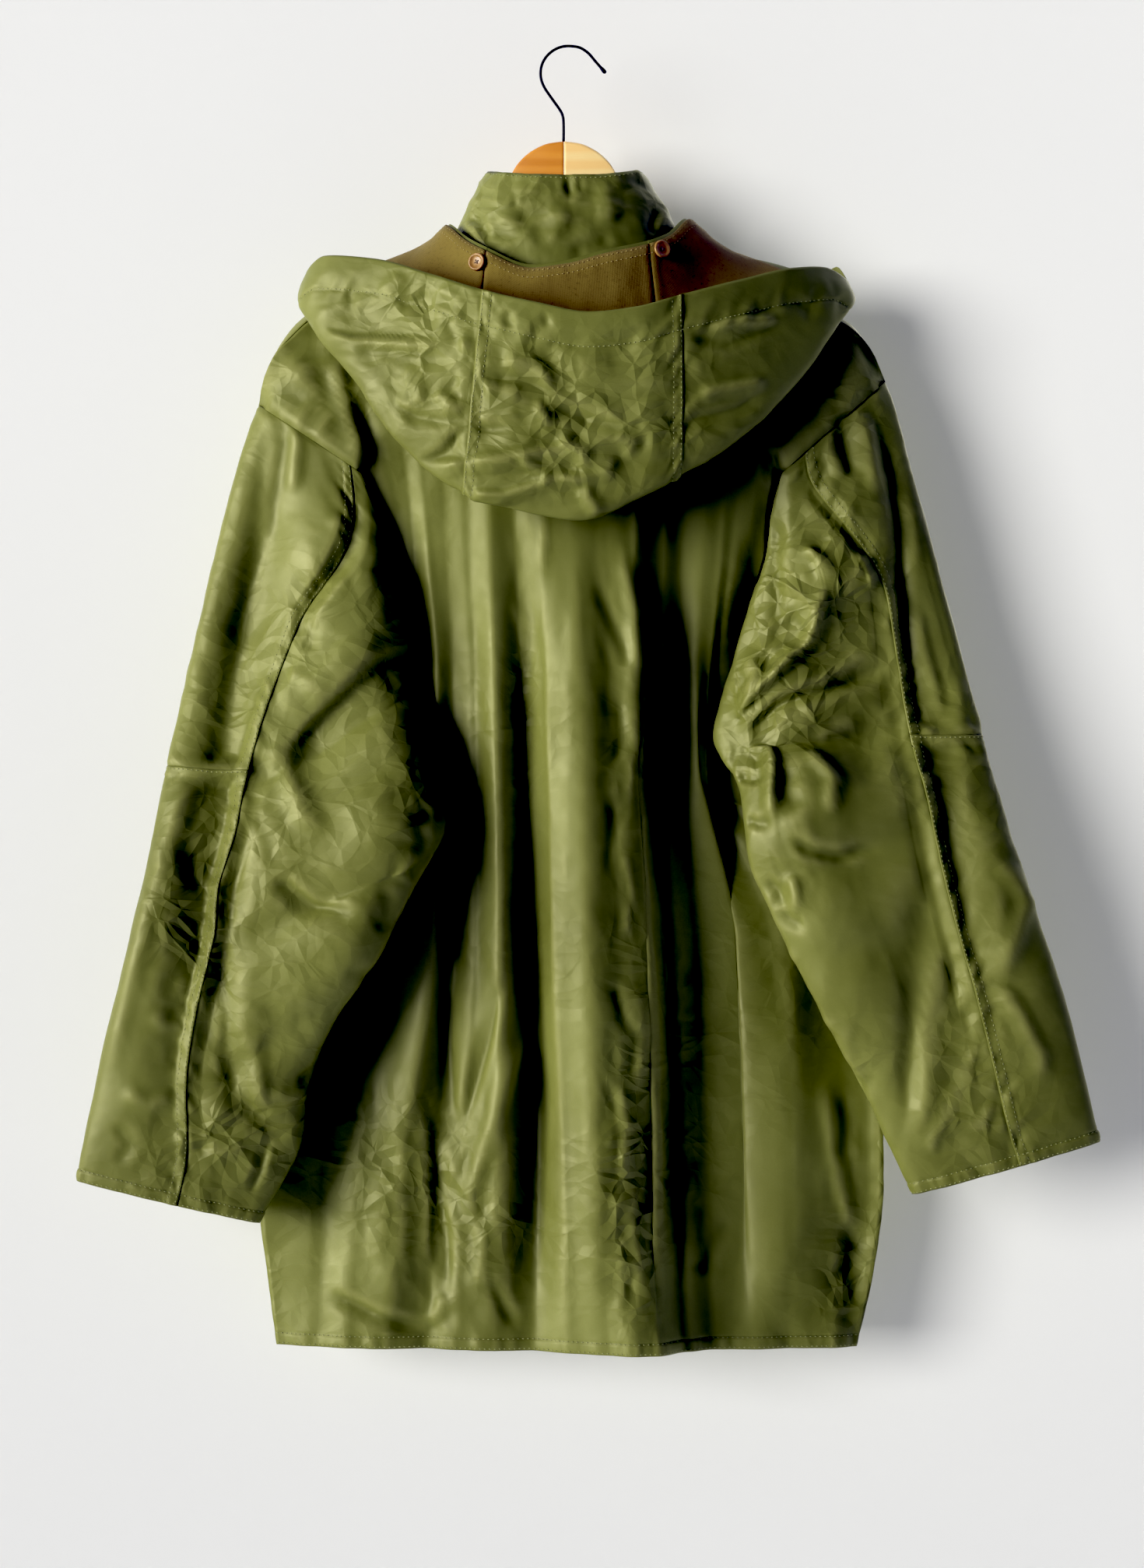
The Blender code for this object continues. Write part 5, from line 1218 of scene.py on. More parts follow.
def shell(name, g, h, n, out, wall, mat, nodes, busy=0.35):
    """A closed thin shell on the grid g moved out by h: outer face, inner face
    and rim, with the cloth's UV, how worn each point is, and how sunk it is, for painted shade in the hollows."""
    rows, cols = g.shape[:2]
    p = g + n * h[..., None]
    n2 = unit(blur(normals(p), 1)) * out
    outer, inner = p + n2 * wall * 0.4, p - n2 * wall * 0.6
    verts = np.concatenate([outer.reshape(-1, 3), inner.reshape(-1, 3)])
    total = rows * cols
    faces = np.concatenate([quads(rows, cols, 0, out < 0), quads(rows, cols, total, out > 0)])
    ring = np.concatenate([np.arange(cols - 1), np.arange(rows - 1) * cols + cols - 1,
                           (rows - 1) * cols + np.arange(cols - 1, 0, -1), np.arange(rows - 1, 0, -1) * cols])
    nxt = np.roll(ring, -1)
    rim = np.stack([ring, nxt, nxt + total, ring + total], -1)
    if out > 0:
        rim = rim[:, ::-1]
    faces = np.concatenate([faces, rim[:, ::-1]])
    ob = put(name, verts, faces.tolist(), mat, nodes)
    me = ob.data
    # how far each point stands proud of, or below, the points around it
    rise = ((p - blur(p, 3)) * n2).sum(-1)
    wear = np.clip((rise - 0.10) / 0.55, 0, 1)
    # how far a point sits below its neighbours: the materials paint it darker there, as painted shade in the hollows
    hollow_shade = np.clip((-rise - 0.12) / 0.6, 0, 1)
    px, py = to_photo(g)
    busy = smooth(((busy(px, py) if callable(busy) else busy) + np.zeros(g.shape[:2]) - 0.06) / 0.94)
    for key, val in (("wear", wear), ("hollow_shade", hollow_shade), ("busy", busy)):
        at_ = me.attributes.new(key, "FLOAT", "POINT")
        at_.data.foreach_set("value", np.concatenate([val.ravel(), val.ravel()]).astype(np.float32))
    u = np.concatenate([np.zeros((rows, 1)), np.cumsum(np.linalg.norm(np.diff(g, axis=1), axis=-1), 1)], 1)
    u = u - u.mean(1, keepdims=True)
    v = np.concatenate([np.zeros((1, cols)), np.cumsum(np.linalg.norm(np.diff(g, axis=0), axis=-1), 0)])
    uv = np.stack([u, v], -1).reshape(-1, 2) * MM
    uv = np.concatenate([uv, uv])
    loops = np.zeros(len(me.loops), np.int32)
    me.loops.foreach_get("vertex_index", loops)
    layer = me.uv_layers.new(name="cloth")
    layer.data.foreach_set("uv", uv[loops].astype(np.float32).ravel())
    a = np.cross(p[1:, 1:] - p[:-1, :-1], p[1:, :-1] - p[:-1, 1:])
    AREAS[name] = float(np.linalg.norm(a, axis=-1).sum() / 2e6)
    PIECES[name] = (p, outer, n2)
    return ob


STITCHES = {"shell": [], "canvas": []}


def stitches(piece, border, inset, kind="shell", pitch=3.9, long=2.7, fat=0.48, start=0.0, stop=1.0, sink=0.05, pos=None):
    """One row of machine stitches on a finished piece, inset mm from a border."""
    p, outer, n = PIECES[piece]
    if border in ("last", "bottom"):
        ax = 1 if border == "last" else 0
        p, outer, n = (np.flip(a, ax) for a in (p, outer, n))
    if border in ("first", "last"):
        p, outer, n = (np.swapaxes(a, 0, 1) for a in (p, outer, n))
    d, _ = reach_from(p, "top")
    k = np.argmax(d > inset, axis=0)
    k = np.clip(k, 1, len(d) - 1)
    c = np.arange(d.shape[1])
    f = np.clip((inset - d[k - 1, c]) / np.maximum(d[k, c] - d[k - 1, c], 1e-6), 0, 1)[:, None]
    line = outer[k - 1, c] * (1 - f) + outer[k, c] * f
    nn = unit(n[k - 1, c] * (1 - f) + n[k, c] * f)
    run = np.concatenate([[0], np.cumsum(np.linalg.norm(np.diff(line, axis=0), axis=-1))])
    s0, s1 = run[-1] * start, run[-1] * stop
    at_s = np.arange(s0 + pitch * 0.5, s1, pitch)

    def on(s):
        q = np.stack([np.interp(s, run, line[:, i]) for i in range(3)], -1)
        m = unit(np.stack([np.interp(s, run, nn[:, i]) for i in range(3)], -1))
        return q, m
    a, na = on(at_s - long / 2)
    b, nb = on(at_s + long / 2)
    m, nm = on(at_s)
    side = unit(np.cross(b - a, nm))
    v = np.stack([a - na * sink, b - nb * sink, m + nm * (fat - sink), m + side * 0.5, m - side * 0.5, m - nm * sink * 2], 1)
    STITCHES[kind].append(v)


def sew():
    for kind, mat, slot in (("shell", THREAD, "shell_cloth"), ("canvas", CANVAS_THREAD, "lining_canvas")):
        if not STITCHES[kind]:
            continue
        v = np.concatenate(STITCHES[kind])
        one = np.array([(0, 2, 3), (0, 4, 2), (1, 3, 2), (1, 2, 4), (0, 3, 5), (0, 5, 4), (1, 5, 3), (1, 4, 5)])
        faces = (one[None] + 6 * np.arange(len(v))[:, None, None]).reshape(-1, 3)
        put("stitching_" + kind, v.reshape(-1, 3), faces.tolist(), mat)


# ----------------------------------------------------------- masks for crumples
def spot(x, y, rx, ry, inside=1.0, outside=0.0):
    return lambda px, py: outside + (inside - outside) * np.exp(-((px - x) / rx) ** 2 - ((py - y) / ry) ** 2)


def spots(*list_):
    def f(px, py):
        m = 0
        for s in list_:
            m = np.maximum(m, s(px, py))
        return m
    return f


# --------------------------------------------------------------------- back
v_back = np.concatenate([np.linspace(0, 0.05, 12), np.linspace(0.05, 1, 236)[1:]])[:, None]
c_back = np.linspace(0, 17, 168)[None, :]
g = trim(back_grid(v_back, c_back), top=0.5, first=0.5, last=0.5)
g = closer(g, "bottom", 14, 1.3)
out = -1 if normals(g)[..., 1].mean() > 0 else 1
mask = spots(spot(815, 1000, 42, 420, 1.0), spot(815, 1500, 45, 250, 1.0), spot(560, 1560, 120, 200, 0.9), spot(1095, 1560, 50, 160, 0.8),
             spot(670, 850, 22, 260, 0.6), spot(400, 500, 90, 90, 1.0), spot(1085, 470, 90, 90, 0.9), spot(720, 1100, 900, 900, 0.22))
h, n = relief(g, out, BACK_CREASES,
              [(2.2, 34, 3, (1, 1, 1.9), mask), (1.0, 90, 5, (1, 1, 2.0), 0.9)],
              [("bottom", "hem"), ("first", "plain"), ("last", "plain"), ("top", "free")])
shell("back", g, h, n, out, 0.9, SHELL, ["back_panel"], mask)
stitches("back", "bottom", 1.6)
stitches("back", "bottom", 9.2)

# ------------------------------------------------------------------- fronts
v_front = np.concatenate([np.linspace(0, 0.1, 24), np.linspace(0.1, 1, 130)[1:]])[:, None]
for side in ("left", "right"):
    g = front_grid(side, v_front, np.linspace(0, 1, 60)[None, :])
    if side == "right":
        g = g[:, ::-1]
        g = trim(g, top=0.5, first=SEAM, last=0.5)
    else:
        g = trim(g, top=0.5, first=0.5, last=SEAM)
    g = closer(g, "bottom", 14, 1.4)
    out = 1 if normals(g)[..., 1].mean() > 0 else -1
    h, n = relief(g, out, FRONT_CREASES, [(1.3, 36, 13, (1, 1, 2.4), 0.7), (1.0, 80, 15, (1, 1, 2.0), 0.9)],
                  [("bottom", "hem"), ("first", "plain"), ("last", "plain"), ("top", "free")], hidden=True)
    down = np.clip((np.arange(len(g)) / len(g))[:, None] / 0.12, 0, 1)
    shell("front_" + side + "_cloth", g, h * down, n, out, 0.9, SHELL, ["front_" + side])
    stitches("front_" + side + "_cloth", "bottom", 1.6)
    stitches("front_" + side + "_cloth", "bottom", 9.2)

base = front_grid("left", dense([FRONT_V[4]] + [0.30, 0.37, 0.5, 0.65, 0.82, 1.0], 200)[:, None], np.linspace(0.81, 0.995, 16)[None, :])
out = 1 if normals(base)[..., 1].mean() > 0 else -1
h, n = relief(base, out, FRONT_CREASES, [(1.3, 36, 13, (1, 1, 2.4), 0.7), (1.0, 80, 15, (1, 1, 2.0), 0.9)], [("bottom", "hem")], hidden=True)
h2, _ = relief(base, out, [], [], [("first", "hem"), ("last", "hem")], hidden=True)
shell("placket_cloth", base, h * 0.97 + 0.4 * h2 + 2.6, n, out, 0.9, SHELL, ["front_placket"])
stitches("placket_cloth", "first", 2.0)
stitches("placket_cloth", "last", 2.0)

# ------------------------------------------------------------------- collar
g = trim(collar_grid(26, 190), bottom=0.5)
mid = np.array([COLLAR_MID[0], 0, 0])
out = 1 if ((g - mid) * normals(g))[..., :2].sum(-1).mean() > 0 else -1
h, n = relief(g, out, COLLAR_CREASES, [(1.7, 34, 21, (1.7, 1, 0.9), 0.9)], [])
d, s = reach_from(g, "top")
h += -0.9 * np.exp(-(d / 1.2) ** 2) - 0.4 * np.exp(-((d - 3.0) / 0.8) ** 2) + 0.7 * np.exp(-((d - 5) / 7) ** 2) * line_noise(s, 5.5, 31, d * 0.2)
shell("collar_stand", g, h, n, out, 2.0, SHELL, ["collar"], 0.55)
stitches("collar_stand", "top", 2.6)

# ------------------------------------------------------------------ sleeves
SLEEVE_ROUGH = {
    "left": spots(spot(390, 500, 60, 60, 1.0), spot(400, 720, 60, 140, 0.55), spot(490, 760, 40, 120, 0.6), spot(250, 1250, 70, 260, 0.8),
                  spot(300, 1450, 150, 110, 0.7), spot(520, 1060, 40, 90, 0.8), spot(420, 1300, 60, 120, 0.5), spot(700, 900, 900, 900, 0.38)),
    "right": spots(spot(1040, 760, 80, 170, 1.0), spot(1000, 930, 80, 140, 1.1), spot(1090, 540, 50, 80, 0.8), spot(1010, 1130, 60, 110, 0.9),
                   spot(1250, 1350, 80, 180, 0.7), spot(1100, 1350, 90, 150, 0.45), spot(700, 900, 900, 900, 0.40))}
for side, creases in (("left", LEFT_CREASES + BACK_CREASES[-5:]), ("right", RIGHT_CREASES + BACK_CREASES[-5:])):
    rows = {"outer_upper": 112, "outer_lower": 140, "under": 236}
    wide = {"outer_upper": 62, "outer_lower": 56, "under": 100}
    for which in ("outer_upper", "outer_lower", "under"):
        name = "sleeve_%s_%s" % (side, which)
        rings = dense(stations(side, which), rows[which])
        cols = dense(columns(side, which), wide[which])
        g = sleeve_piece(side, which, rings, cols)
        g = trim(g, top=0.5, bottom=(0.1 if which == "outer_upper" else 0.0), first=0.1, last=0.1)
        if which != "outer_upper":
            g = closer(g, "bottom", 14, 1.3)
        back_side = "last" if which != "under" else "first"
        if which != "under":
            g = grown(g, "last", 1.3)
        g = grown(g, "top", 1.3)
        g = closer(g, back_side, 11, 1.5)
        centre = g.mean(axis=(0, 1))
        core = sleeve_piece(side, which, rings, cols).mean(axis=1, keepdims=True)
        ref = np.array([0, 1, 0])
        nn = normals(g)
        if which == "under":      # the hidden half turns over: judge by its part on the back
            out = -1 if nn[:, :len(nn[0]) // 3, 1].mean() > 0 else 1
        else:
            out = -1 if nn[:, -len(nn[0]) // 3:, 1].mean() > 0 else 1
        end = "hem" if which != "outer_upper" else "under"
        seams = [("bottom", end), (back_side, "over" if which != "under" else "under"),
                 ("first" if which != "under" else "last", "plain"), ("top", "under" if which != "outer_lower" else "over")]
        rough = SLEEVE_ROUGH[side]
        seed = {"left": 41, "right": 47}[side]
        h, n = relief(g, out, creases, [(2.4, 46, seed, (1, 1, 1.25), rough), (1.6, 90, seed + 4, (1, 1, 1.5), 0.9)], seams)
        front = moved(creases, 10, 30, None, 0.6)
        facing = np.clip(n[..., 1] * 1.4, 0, 1) ** 0.8
        px, py = to_photo(g)
        h += facing * sum(crease(px, py, w, dd, ww, kk) for w, dd, ww, kk in front)
        shell(name + "_cloth", g, h, n, out, 0.9, SHELL, [name], rough)
        nm = name + "_cloth"
        if which != "outer_upper":
            stitches(nm, "bottom", 1.6)
            stitches(nm, "bottom", 9.2)
        if which != "under":
            stitches(nm, "last", 1.7)
            stitches(nm, "last", 8.2)
        if which == "outer_lower":
            stitches(nm, "top", 1.8)

# --------------------------------------------------------------------- hood
HOOD_ROUGH = spots(spot(520, 500, 120, 90, 0.9), spot(690, 560, 130, 90, 1.15), spot(680, 470, 80, 60, 1.0), spot(880, 450, 160, 60, 0.75),
                   spot(520, 400, 120, 40, 0.9), spot(850, 550, 120, 50, 0.8), spot(740, 500, 600, 400, 0.4))
HOOD_FOLDED = [(2.3, 38, 61, (2.0, 1, 0.8), HOOD_ROUGH), (1.5, 90, 65, (1, 1, 1), 0.8)]
for which, cols in (("left", 124), ("centre", 84), ("right", 124)):
    s_rows = np.linspace(0, 1, 140)
    g = hood_piece(which, s_rows, cols)
    g = closer(g, "bottom", 30, 1.6)
    if which == "left":
        g = closer(g, "last", 11, 1.4)
    if which == "centre":
        g = grown(grown(g, "first", 1.0), "last", 1.0)
        g = closer(closer(g, "first", 11, 1.4), "last", 11, 1.4)
    if which == "right":
        g = closer(g, "first", 11, 1.4)
    out = -1
    seams = [("bottom", "casing"), ("top", "free")]
    seams += {"left": [("last", "under")], "centre": [("first", "over"), ("last", "over")], "right": [("first", "under")]}[which]
    h, n = relief(g, out, HOOD_CREASES, HOOD_FOLDED, seams)
    # the side against the collar and the lining stays calm
    s_at = np.clip(reach_from(g, "top")[0] / reach_from(g, "top")[0].max(), 0, 1)
    inside = smooth((s_at - 0.30) / 0.22)
    h = h * (0.12 + 0.88 * inside)
    h = np.where(h < 0, h * 0.75, h)
    shell("hood_%s_cloth" % which, g, h, n, out, 0.9, SHELL, ["hood_" + which], HOOD_ROUGH)
    nm = "hood_%s_cloth" % which
    stitches(nm, "bottom", 27)
    if which == "centre":
        for b in ("first", "last"):
            stitches(nm, b, 1.7, start=0.42)
            stitches(nm, b, 8.2, start=0.42)
    # lining
    fine = np.linspace(0.004, 0.958, 76)
    g = hood_piece(which, np.concatenate([[0.0], fine, [1.0]]), 56, off=2.6)
    d, s = reach_from(g, "top")
    g_n = unit(blur(normals(g), 3))
    follow, _ = relief(g, -1, HOOD_CREASES, HOOD_FOLDED, [])
    down = np.clip(d / reach_from(hood_piece(which, np.linspace(0, 1, 60), 20), "top")[0].max(), 0, 1)
    follow = follow * (0.12 + 0.88 * smooth((down - 0.30) / 0.22))
    follow = np.minimum(follow, 0) * 0.75
    g = g - g_n * follow[..., None]
    h = 0.9 * soft(g, 60, 71) + 0.5 * crumple(g, 26, 73) - 0.5 * np.exp(-((d - 2.0) / 0.9) ** 2) - 0.5 * np.exp(-((d - 7.5) / 1.0) ** 2)
    h += 0.5 * np.exp(-((d - 4.8) / 2.2) ** 2) + 0.35 * np.exp(-((d - 5) / 6) ** 2) * line_noise(s, 5, 33)
    for b in {"left": ["last"], "centre": ["first", "last"], "right": ["first"]}[which]:
        db, sb = reach_from(g, b)
        h += -0.8 * np.exp(-(db / 1.6) ** 2) + 0.5 * np.exp(-((db - 4) / 3) ** 2)
    n = unit(blur(normals(g), 2))
    h = np.clip(h, -0.6, 1.6)
    shell("hood_lining_%s_cloth" % which, g, h, n, 1, 0.7, CANVAS, ["hood_lining_" + which])
    nm = "hood_lining_%s_cloth" % which
    stitches(nm, "top", 2.0, kind="canvas")
    stitches(nm, "top", 7.5, kind="canvas")


# ---------------------------------------------------- hanger, hook and buttons
def arm_mesh(name, sign, mat, node):
    xs = np.concatenate([np.linspace(0.15, 45, 60), np.linspace(45, 216, 110)[1:]])
    turn = (np.arange(32) + 0.5) * math.tau / 32
    tab = {k: spline(xs, ARM["x"], ARM[k]) for k in ("top", "bottom", "thick")}
    # the round head: half an ellipse, so its outline stays smooth
    rings = []
    for k, x in enumerate(xs):
        zt, zb, th = tab["top"][k], tab["bottom"][k], tab["thick"][k] / 2
        zm, hz = (zt + zb) / 2, (zt - zb) / 2
        r = min(3.0, hz * 0.9, th * 0.9)
        if x < 1.2:
            th = th - 0.5 * (1.2 - x)
        c, s = np.cos(turn), np.sin(turn)
        rings.append(np.stack([np.full(32, HANGER_MID + sign * x), np.sign(c) * (th - r) + c * r, zm + np.sign(s) * (hz - r) + s * r], -1))
    v = np.concatenate(rings)
    faces = []
    for i in range(len(rings) - 1):
        for j in range(32):
            a, b = i * 32 + j, i * 32 + (j + 1) % 32
            faces.append((a, b, b + 32, a + 32) if sign > 0 else (a, a + 32, b + 32, b))
    first, last = tuple(range(32)), tuple((len(rings) - 1) * 32 + j for j in range(32))
    faces += [first[::-1], last] if sign > 0 else [first, last[::-1]]
    ob = put(name, v, faces, mat, [node])
    return ob


# the left arm takes the painted-shade copy of the wood, the right arm the painted-light copy
arm_mesh("hanger_wood_left", -1, WOOD_PAINTED_SHADE, "hanger_arm_left")
arm_mesh("hanger_wood_right", 1, WOOD_PAINTED_LIGHT, "hanger_arm_right")

# hook wire: x z along its middle, and its radius
HOOK = table("x z rad", [
    (-6.0, -73.7, 1.1), (-6.0, -60, 1.1), (-6.6, -54, 1.1), (-8.8, -49, 1.1), (-14.8, -40.5, 1.1), (-20.6, -32, 1.1),
    (-23.4, -25.5, 1.1), (-24.0, -19, 1.1), (-22.6, -12.5, 1.1), (-19.0, -6.6, 1.1), (-13.6, -2.0, 1.1), (-7.0, 0.7, 1.1),
    (0.0, 1.1, 1.1), (7.0, -0.2, 1.1), (13.4, -4.4, 1.1), (18.6, -10.4, 1.1), (22.6, -15.0, 1.1), (24.4, -17.0, 1.5),
    (25.4, -18.2, 1.7), (26.4, -19.4, 1.5), (27.0, -20.2, 0.7)])


def hook_mesh():
    """The bent wire on a smooth line through its points, with a rounded end."""
    p = np.stack([HOOK["x"], HOOK["z"]], -1)
    q = np.concatenate([2 * p[:1] - p[1:2], p, 2 * p[-1:] - p[-2:-1]])
    line, rad = [], []
    for i in range(len(p) - 1):
        for t in np.linspace(0, 1, 7)[:-1]:
            a, b, c, d = q[i:i + 4]
            line.append(0.5 * (2 * b + (c - a) * t + (2 * a - 5 * b + 4 * c - d) * t * t + (3 * b - a - 3 * c + d) * t ** 3))
            rad.append(HOOK["rad"][i] * (1 - t) + HOOK["rad"][i + 1] * t)
    line.append(p[-1])
    rad.append(0.25)
    line, rad = np.array(line), np.array(rad)
    way = np.gradient(line, axis=0)
    way /= np.linalg.norm(way, axis=1, keepdims=True)
    turn = np.arange(16) * math.tau / 16
    v = []
    for (x, z), (wx, wz), r in zip(line, way, rad):
        v += [(x - wz * r * math.cos(a), r * math.sin(a), z + wx * r * math.cos(a)) for a in turn]
    faces = []
    for i in range(len(line) - 1):
        for j in range(16):
            a, b = i * 16 + j, i * 16 + (j + 1) % 16
            faces.append((a, b, b + 16, a + 16))
    faces += [tuple(range(15, -1, -1)), tuple((len(line) - 1) * 16 + j for j in range(16))]
    put("hook_wire_bent", v, faces, WIRE, ["hook"])


hook_mesh()


def button(name, t, s, lift, node, spin):
    e = 0.02
    p = hood_point(np.array([t]), np.array([s]))[0]
    u = unit(hood_point(np.array([t + e]), np.array([s]))[0] - p)
    w = hood_point(np.array([t]), np.array([s + e]))[0] - p
    nrm = unit(np.cross(u, w))
    if nrm[1] > 0:
        nrm = -nrm
    w = np.cross(nrm, u)
    base = p + nrm * lift
    prof = [(0.001, 1.25), (2.0, 1.3), (3.6, 1.42), (4.5, 1.75), (5.1, 2.25), (5.8, 2.5), (6.4, 2.35), (6.85, 1.8), (7.0, 1.1), (6.7, 0.4),
            (6.0, 0.05), (3.0, 0.0), (0.001, 0.0)]
    me = bpy.data.meshes.new(name)
    a = np.arange(48) * math.tau / 48
    v = [(r * math.cos(k), r * math.sin(k), z) for r, z in prof for k in a]
    f = [(i * 48 + j, (i + 1) * 48 + j, (i + 1) * 48 + (j + 1) % 48, i * 48 + (j + 1) % 48) for i in range(len(prof) - 1) for j in range(48)]
    f += [tuple(range(48)), tuple((len(prof) - 1) * 48 + j for j in range(47, -1, -1))]
    me.from_pydata(v, [], f)
    body = bpy.data.objects.new(name, me)
    bpy.context.scene.collection.objects.link(body)
    spots_at = [(1.35 * math.cos(k), 1.35 * math.sin(k)) for k in (0.785 + spin + i * math.pi / 2 for i in range(4))]
    drills = []
    for k, (x, y) in enumerate(spots_at):
        dm = bpy.data.meshes.new("drill")
        ring = [(x + 0.62 * math.cos(b), y + 0.62 * math.sin(b)) for b in np.arange(14) * math.tau / 14]
        dm.from_pydata([(*q, -1.0) for q in ring] + [(*q, 4.0) for q in ring], [],
                       [(j, (j + 1) % 14, 14 + (j + 1) % 14, 14 + j) for j in range(14)] + [tuple(range(13, -1, -1)), tuple(range(14, 28))])
        d = bpy.data.objects.new("drill", dm)
        bpy.context.scene.collection.objects.link(d)
        mod = body.modifiers.new("hole%d" % k, "BOOLEAN")
        mod.operation, mod.object, mod.solver = "DIFFERENCE", d, "EXACT"
        drills.append(d)
    dg = bpy.context.evaluated_depsgraph_get()
    made = bpy.data.meshes.new_from_object(body.evaluated_get(dg))
    for d in drills + [body]:
        bpy.data.objects.remove(d)
    co = np.zeros(len(made.vertices) * 3)
    made.vertices.foreach_get("co", co)
    co = co.reshape(-1, 3)
    world = base + co[:, :1] * u + co[:, 1:2] * w + co[:, 2:] * nrm
    ob = put(name, world, [tuple(q.vertices) for q in made.polygons], BUTTON, [node], smooth_shade=False)
    ob.data.shade_smooth()
    ob.data.set_sharp_from_angle(angle=0.7)
    # two threads across the holes
    v, f = [], []
    for (x0, y0), (x1, y1) in ((spots_at[0], spots_at[2]), (spots_at[1], spots_at[3])):
        way = np.array([x1 - x0, y1 - y0])
        way /= np.linalg.norm(way)
        line = [(x0, y0, 0.2), (x0, y0, 1.2), (x0 + way[0] * 0.35, y0 + way[1] * 0.35, 1.65), ((x0 + x1) / 2, (y0 + y1) / 2, 1.8),
                (x1 - way[0] * 0.35, y1 - way[1] * 0.35, 1.65), (x1, y1, 1.2), (x1, y1, 0.2)]
        at0 = len(v)
        for k, (x, y, z) in enumerate(line):
            q0, q1 = np.array(line[max(k - 1, 0)]), np.array(line[min(k + 1, 6)])
            d = unit(q1 - q0)
            s1 = unit(np.cross(d, [way[1], -way[0], 0.0001]))
            s2 = np.cross(d, s1)
            v += [np.array([x, y, z]) + 0.3 * (math.cos(b) * s1 + math.sin(b) * s2) for b in np.arange(8) * math.tau / 8]
        for i in range(6):
            for j in range(8):
                a0, b0 = at0 + i * 8 + j, at0 + i * 8 + (j + 1) % 8
                f.append((a0, b0, b0 + 8, a0 + 8))
        f += [tuple(at0 + j for j in range(7, -1, -1)), tuple(at0 + 48 + j for j in range(8))]
    v = np.array(v)
    put(name + "_thread", base + v[:, :1] * u + v[:, 1:2] * w + v[:, 2:] * nrm, f, COTTON)


button("button_left", -0.34, 0.02, 3.4, "hood_button_left", 0.2)
button("button_right", 0.36, 0.015, 3.4, "hood_button_right", 0.5)
sew()

# -------------------------------------------------------------------- stage
def stage_mesh(name, verts, faces, mat):
    me = bpy.data.meshes.new(name)
    me.from_pydata(verts, [], faces)
    me.materials.append(mat)
    ob = bpy.data.objects.new(name, me)
    bpy.context.scene.collection.objects.link(ob)
    return ob


def plaster(name, colour, one_sided=False, glow=0.0):
    m, t, b = nodes_of(name)
    obj = add(t, "ShaderNodeTexCoord").outputs["Object"]
    n = noise(t, obj, 1.4, 3.0)
    t.links.new(ramp(t, n, [(0.3, tuple(c * 0.97 for c in colour)), (0.7, colour)]), b.inputs["Base Color"])
    b.inputs["Roughness"].default_value = 0.9
    b.inputs["Specular IOR Level"].default_value = 0.1
    b.inputs["Emission Color"].default_value = (*colour, 1)
    b.inputs["Emission Strength"].default_value = glow
    if one_sided:          # nothing on its far side, so the views from behind stay clear
        geo = add(t, "ShaderNodeNewGeometry")
        clear = add(t, "ShaderNodeBsdfTransparent")
        mix = add(t, "ShaderNodeMixShader")
        t.links.new(geo.outputs["Backfacing"], mix.inputs["Fac"])
        t.links.new(b.outputs["BSDF"], mix.inputs[1])
        t.links.new(clear.outputs["BSDF"], mix.inputs[2])
        t.links.new(mix.outputs["Shader"], t.nodes["Material Output"].inputs["Surface"])
    return m


wall = stage_mesh("backdrop", [(-6, 0.089, -1.5), (6, 0.089, -1.5), (6, 0.089, 3), (-6, 0.089, 3)], [(0, 1, 2, 3)],
                  plaster("pale_wall", (0.665, 0.668, 0.672), True, 0.26))
wall.visible_shadow = False
floor = stage_mesh("floor", [(-7, -7, -1.5), (7, -7, -1.5), (7, 7, -1.5), (-7, 7, -1.5)], [(0, 1, 2, 3)],
                   plaster("pale_floor", (0.74, 0.745, 0.75)))
# a pale studio all round, seen but giving no light of its own
turn = [(6.9 * math.cos(k * math.tau / 64), 6.9 * math.sin(k * math.tau / 64)) for k in range(64)]
studio = stage_mesh("studio", [(x, y, -1.5) for x, y in turn] + [(x, y, 7.0) for x, y in turn],
                    [(64 + k, 64 + (k + 1) % 64, (k + 1) % 64, k) for k in range(64)] + [tuple(range(127, 63, -1))],
                    plaster("studio_paper", (0.60, 0.61, 0.62), False, 1.0))
studio.visible_diffuse = studio.visible_glossy = studio.visible_transmission = studio.visible_shadow = False


def lamp(name, place, aim, size, power, colour=(1, 1, 1)):
    li = bpy.data.lights.new(name, "AREA")
    li.shape = "RECTANGLE"
    li.size, li.size_y = size
    li.energy = power
    li.color = colour
    ob = bpy.data.objects.new(name, li)
    bpy.context.scene.collection.objects.link(ob)
    ob.location = place
    ob.rotation_mode = "QUATERNION"
    ob.rotation_quaternion = (Vector(aim) - Vector(place)).to_track_quat("-Z", "Y")
    return ob


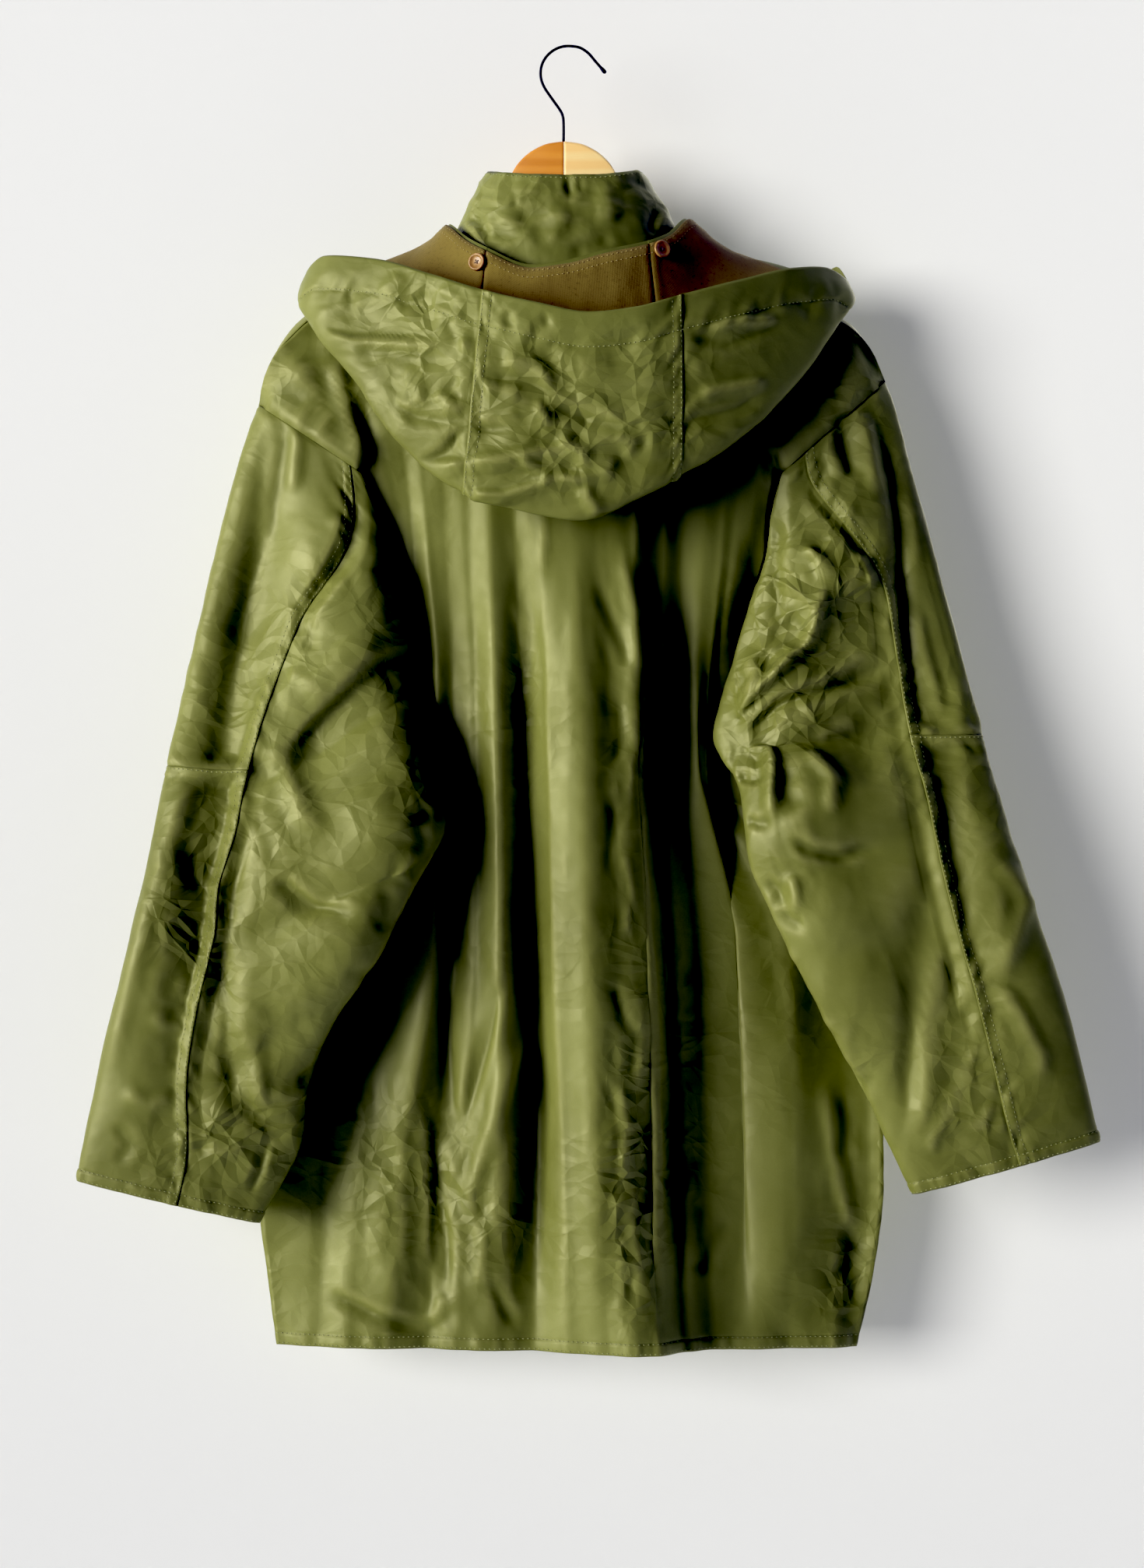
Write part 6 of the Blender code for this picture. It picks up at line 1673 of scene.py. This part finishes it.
def window(name, across, down, power, angle, lit):
    """The large window on the left. lit: the objects that it lights."""
    sun = bpy.data.lights.new(name, "SUN")
    sun.energy = power
    sun.angle = math.radians(angle)
    sun.color = (1.0, 0.985, 0.95)
    ray = bpy.data.objects.new(name, sun)
    bpy.context.scene.collection.objects.link(ray)
    ray.rotation_mode = "QUATERNION"
    a = math.radians(across)
    ray.rotation_quaternion = Vector((math.sin(a), math.cos(a), down)).to_track_quat("-Z", "Y")
    group = bpy.data.collections.new(name + "_lit")
    for ob in lit:
        group.objects.link(ob)
    ray.light_linking.receiver_collection = group


# the cloth is lit from far to the side, the room and the hanger more from the front
room = [wall, floor, studio]
cloth = [ob for ob in bpy.context.scene.objects if ob.type == "MESH" and ob not in room and not ob.name.startswith("hanger_wood")]
window("window_left", 61, -0.08, 3.75, 34, cloth)
window("window_room", 42, -0.08, 3.75, 30, room + [ob for ob in bpy.context.scene.objects if ob.name.startswith("hanger_wood")])
lamp("window_behind", (1.3, 2.6, 0.5), (0.0, 0.0, -0.5), (1.6, 1.6), 60, (1.0, 0.99, 0.96))
lamp("fill_behind", (-1.6, 2.6, 0.1), (0.0, 0.0, -0.5), (1.6, 1.8), 16, (0.95, 0.98, 1.0))

world = bpy.data.worlds.new("studio")
world.use_nodes = True
world.node_tree.nodes["Background"].inputs["Color"].default_value = (0.84, 0.86, 0.88, 1)
world.node_tree.nodes["Background"].inputs["Strength"].default_value = 0.12
bpy.context.scene.world = world

cam = bpy.data.cameras.new("camera")
cam.lens = 85
cam.sensor_width = 36
cam.clip_start, cam.clip_end = 0.05, 50
eye = bpy.data.objects.new("camera", cam)
bpy.context.scene.collection.objects.link(eye)
eye.location = (0.0006, -2.901, -0.57706)
eye.rotation_euler = (math.radians(90), 0, 0)
bpy.context.scene.camera = eye
bpy.context.scene.view_settings.view_transform = "Standard"
bpy.context.scene.view_settings.look = "None"
bpy.context.scene.view_settings.use_curve_mapping = True
bpy.context.scene.view_settings.curve_mapping.black_level = (0.064, 0.064, 0.023)
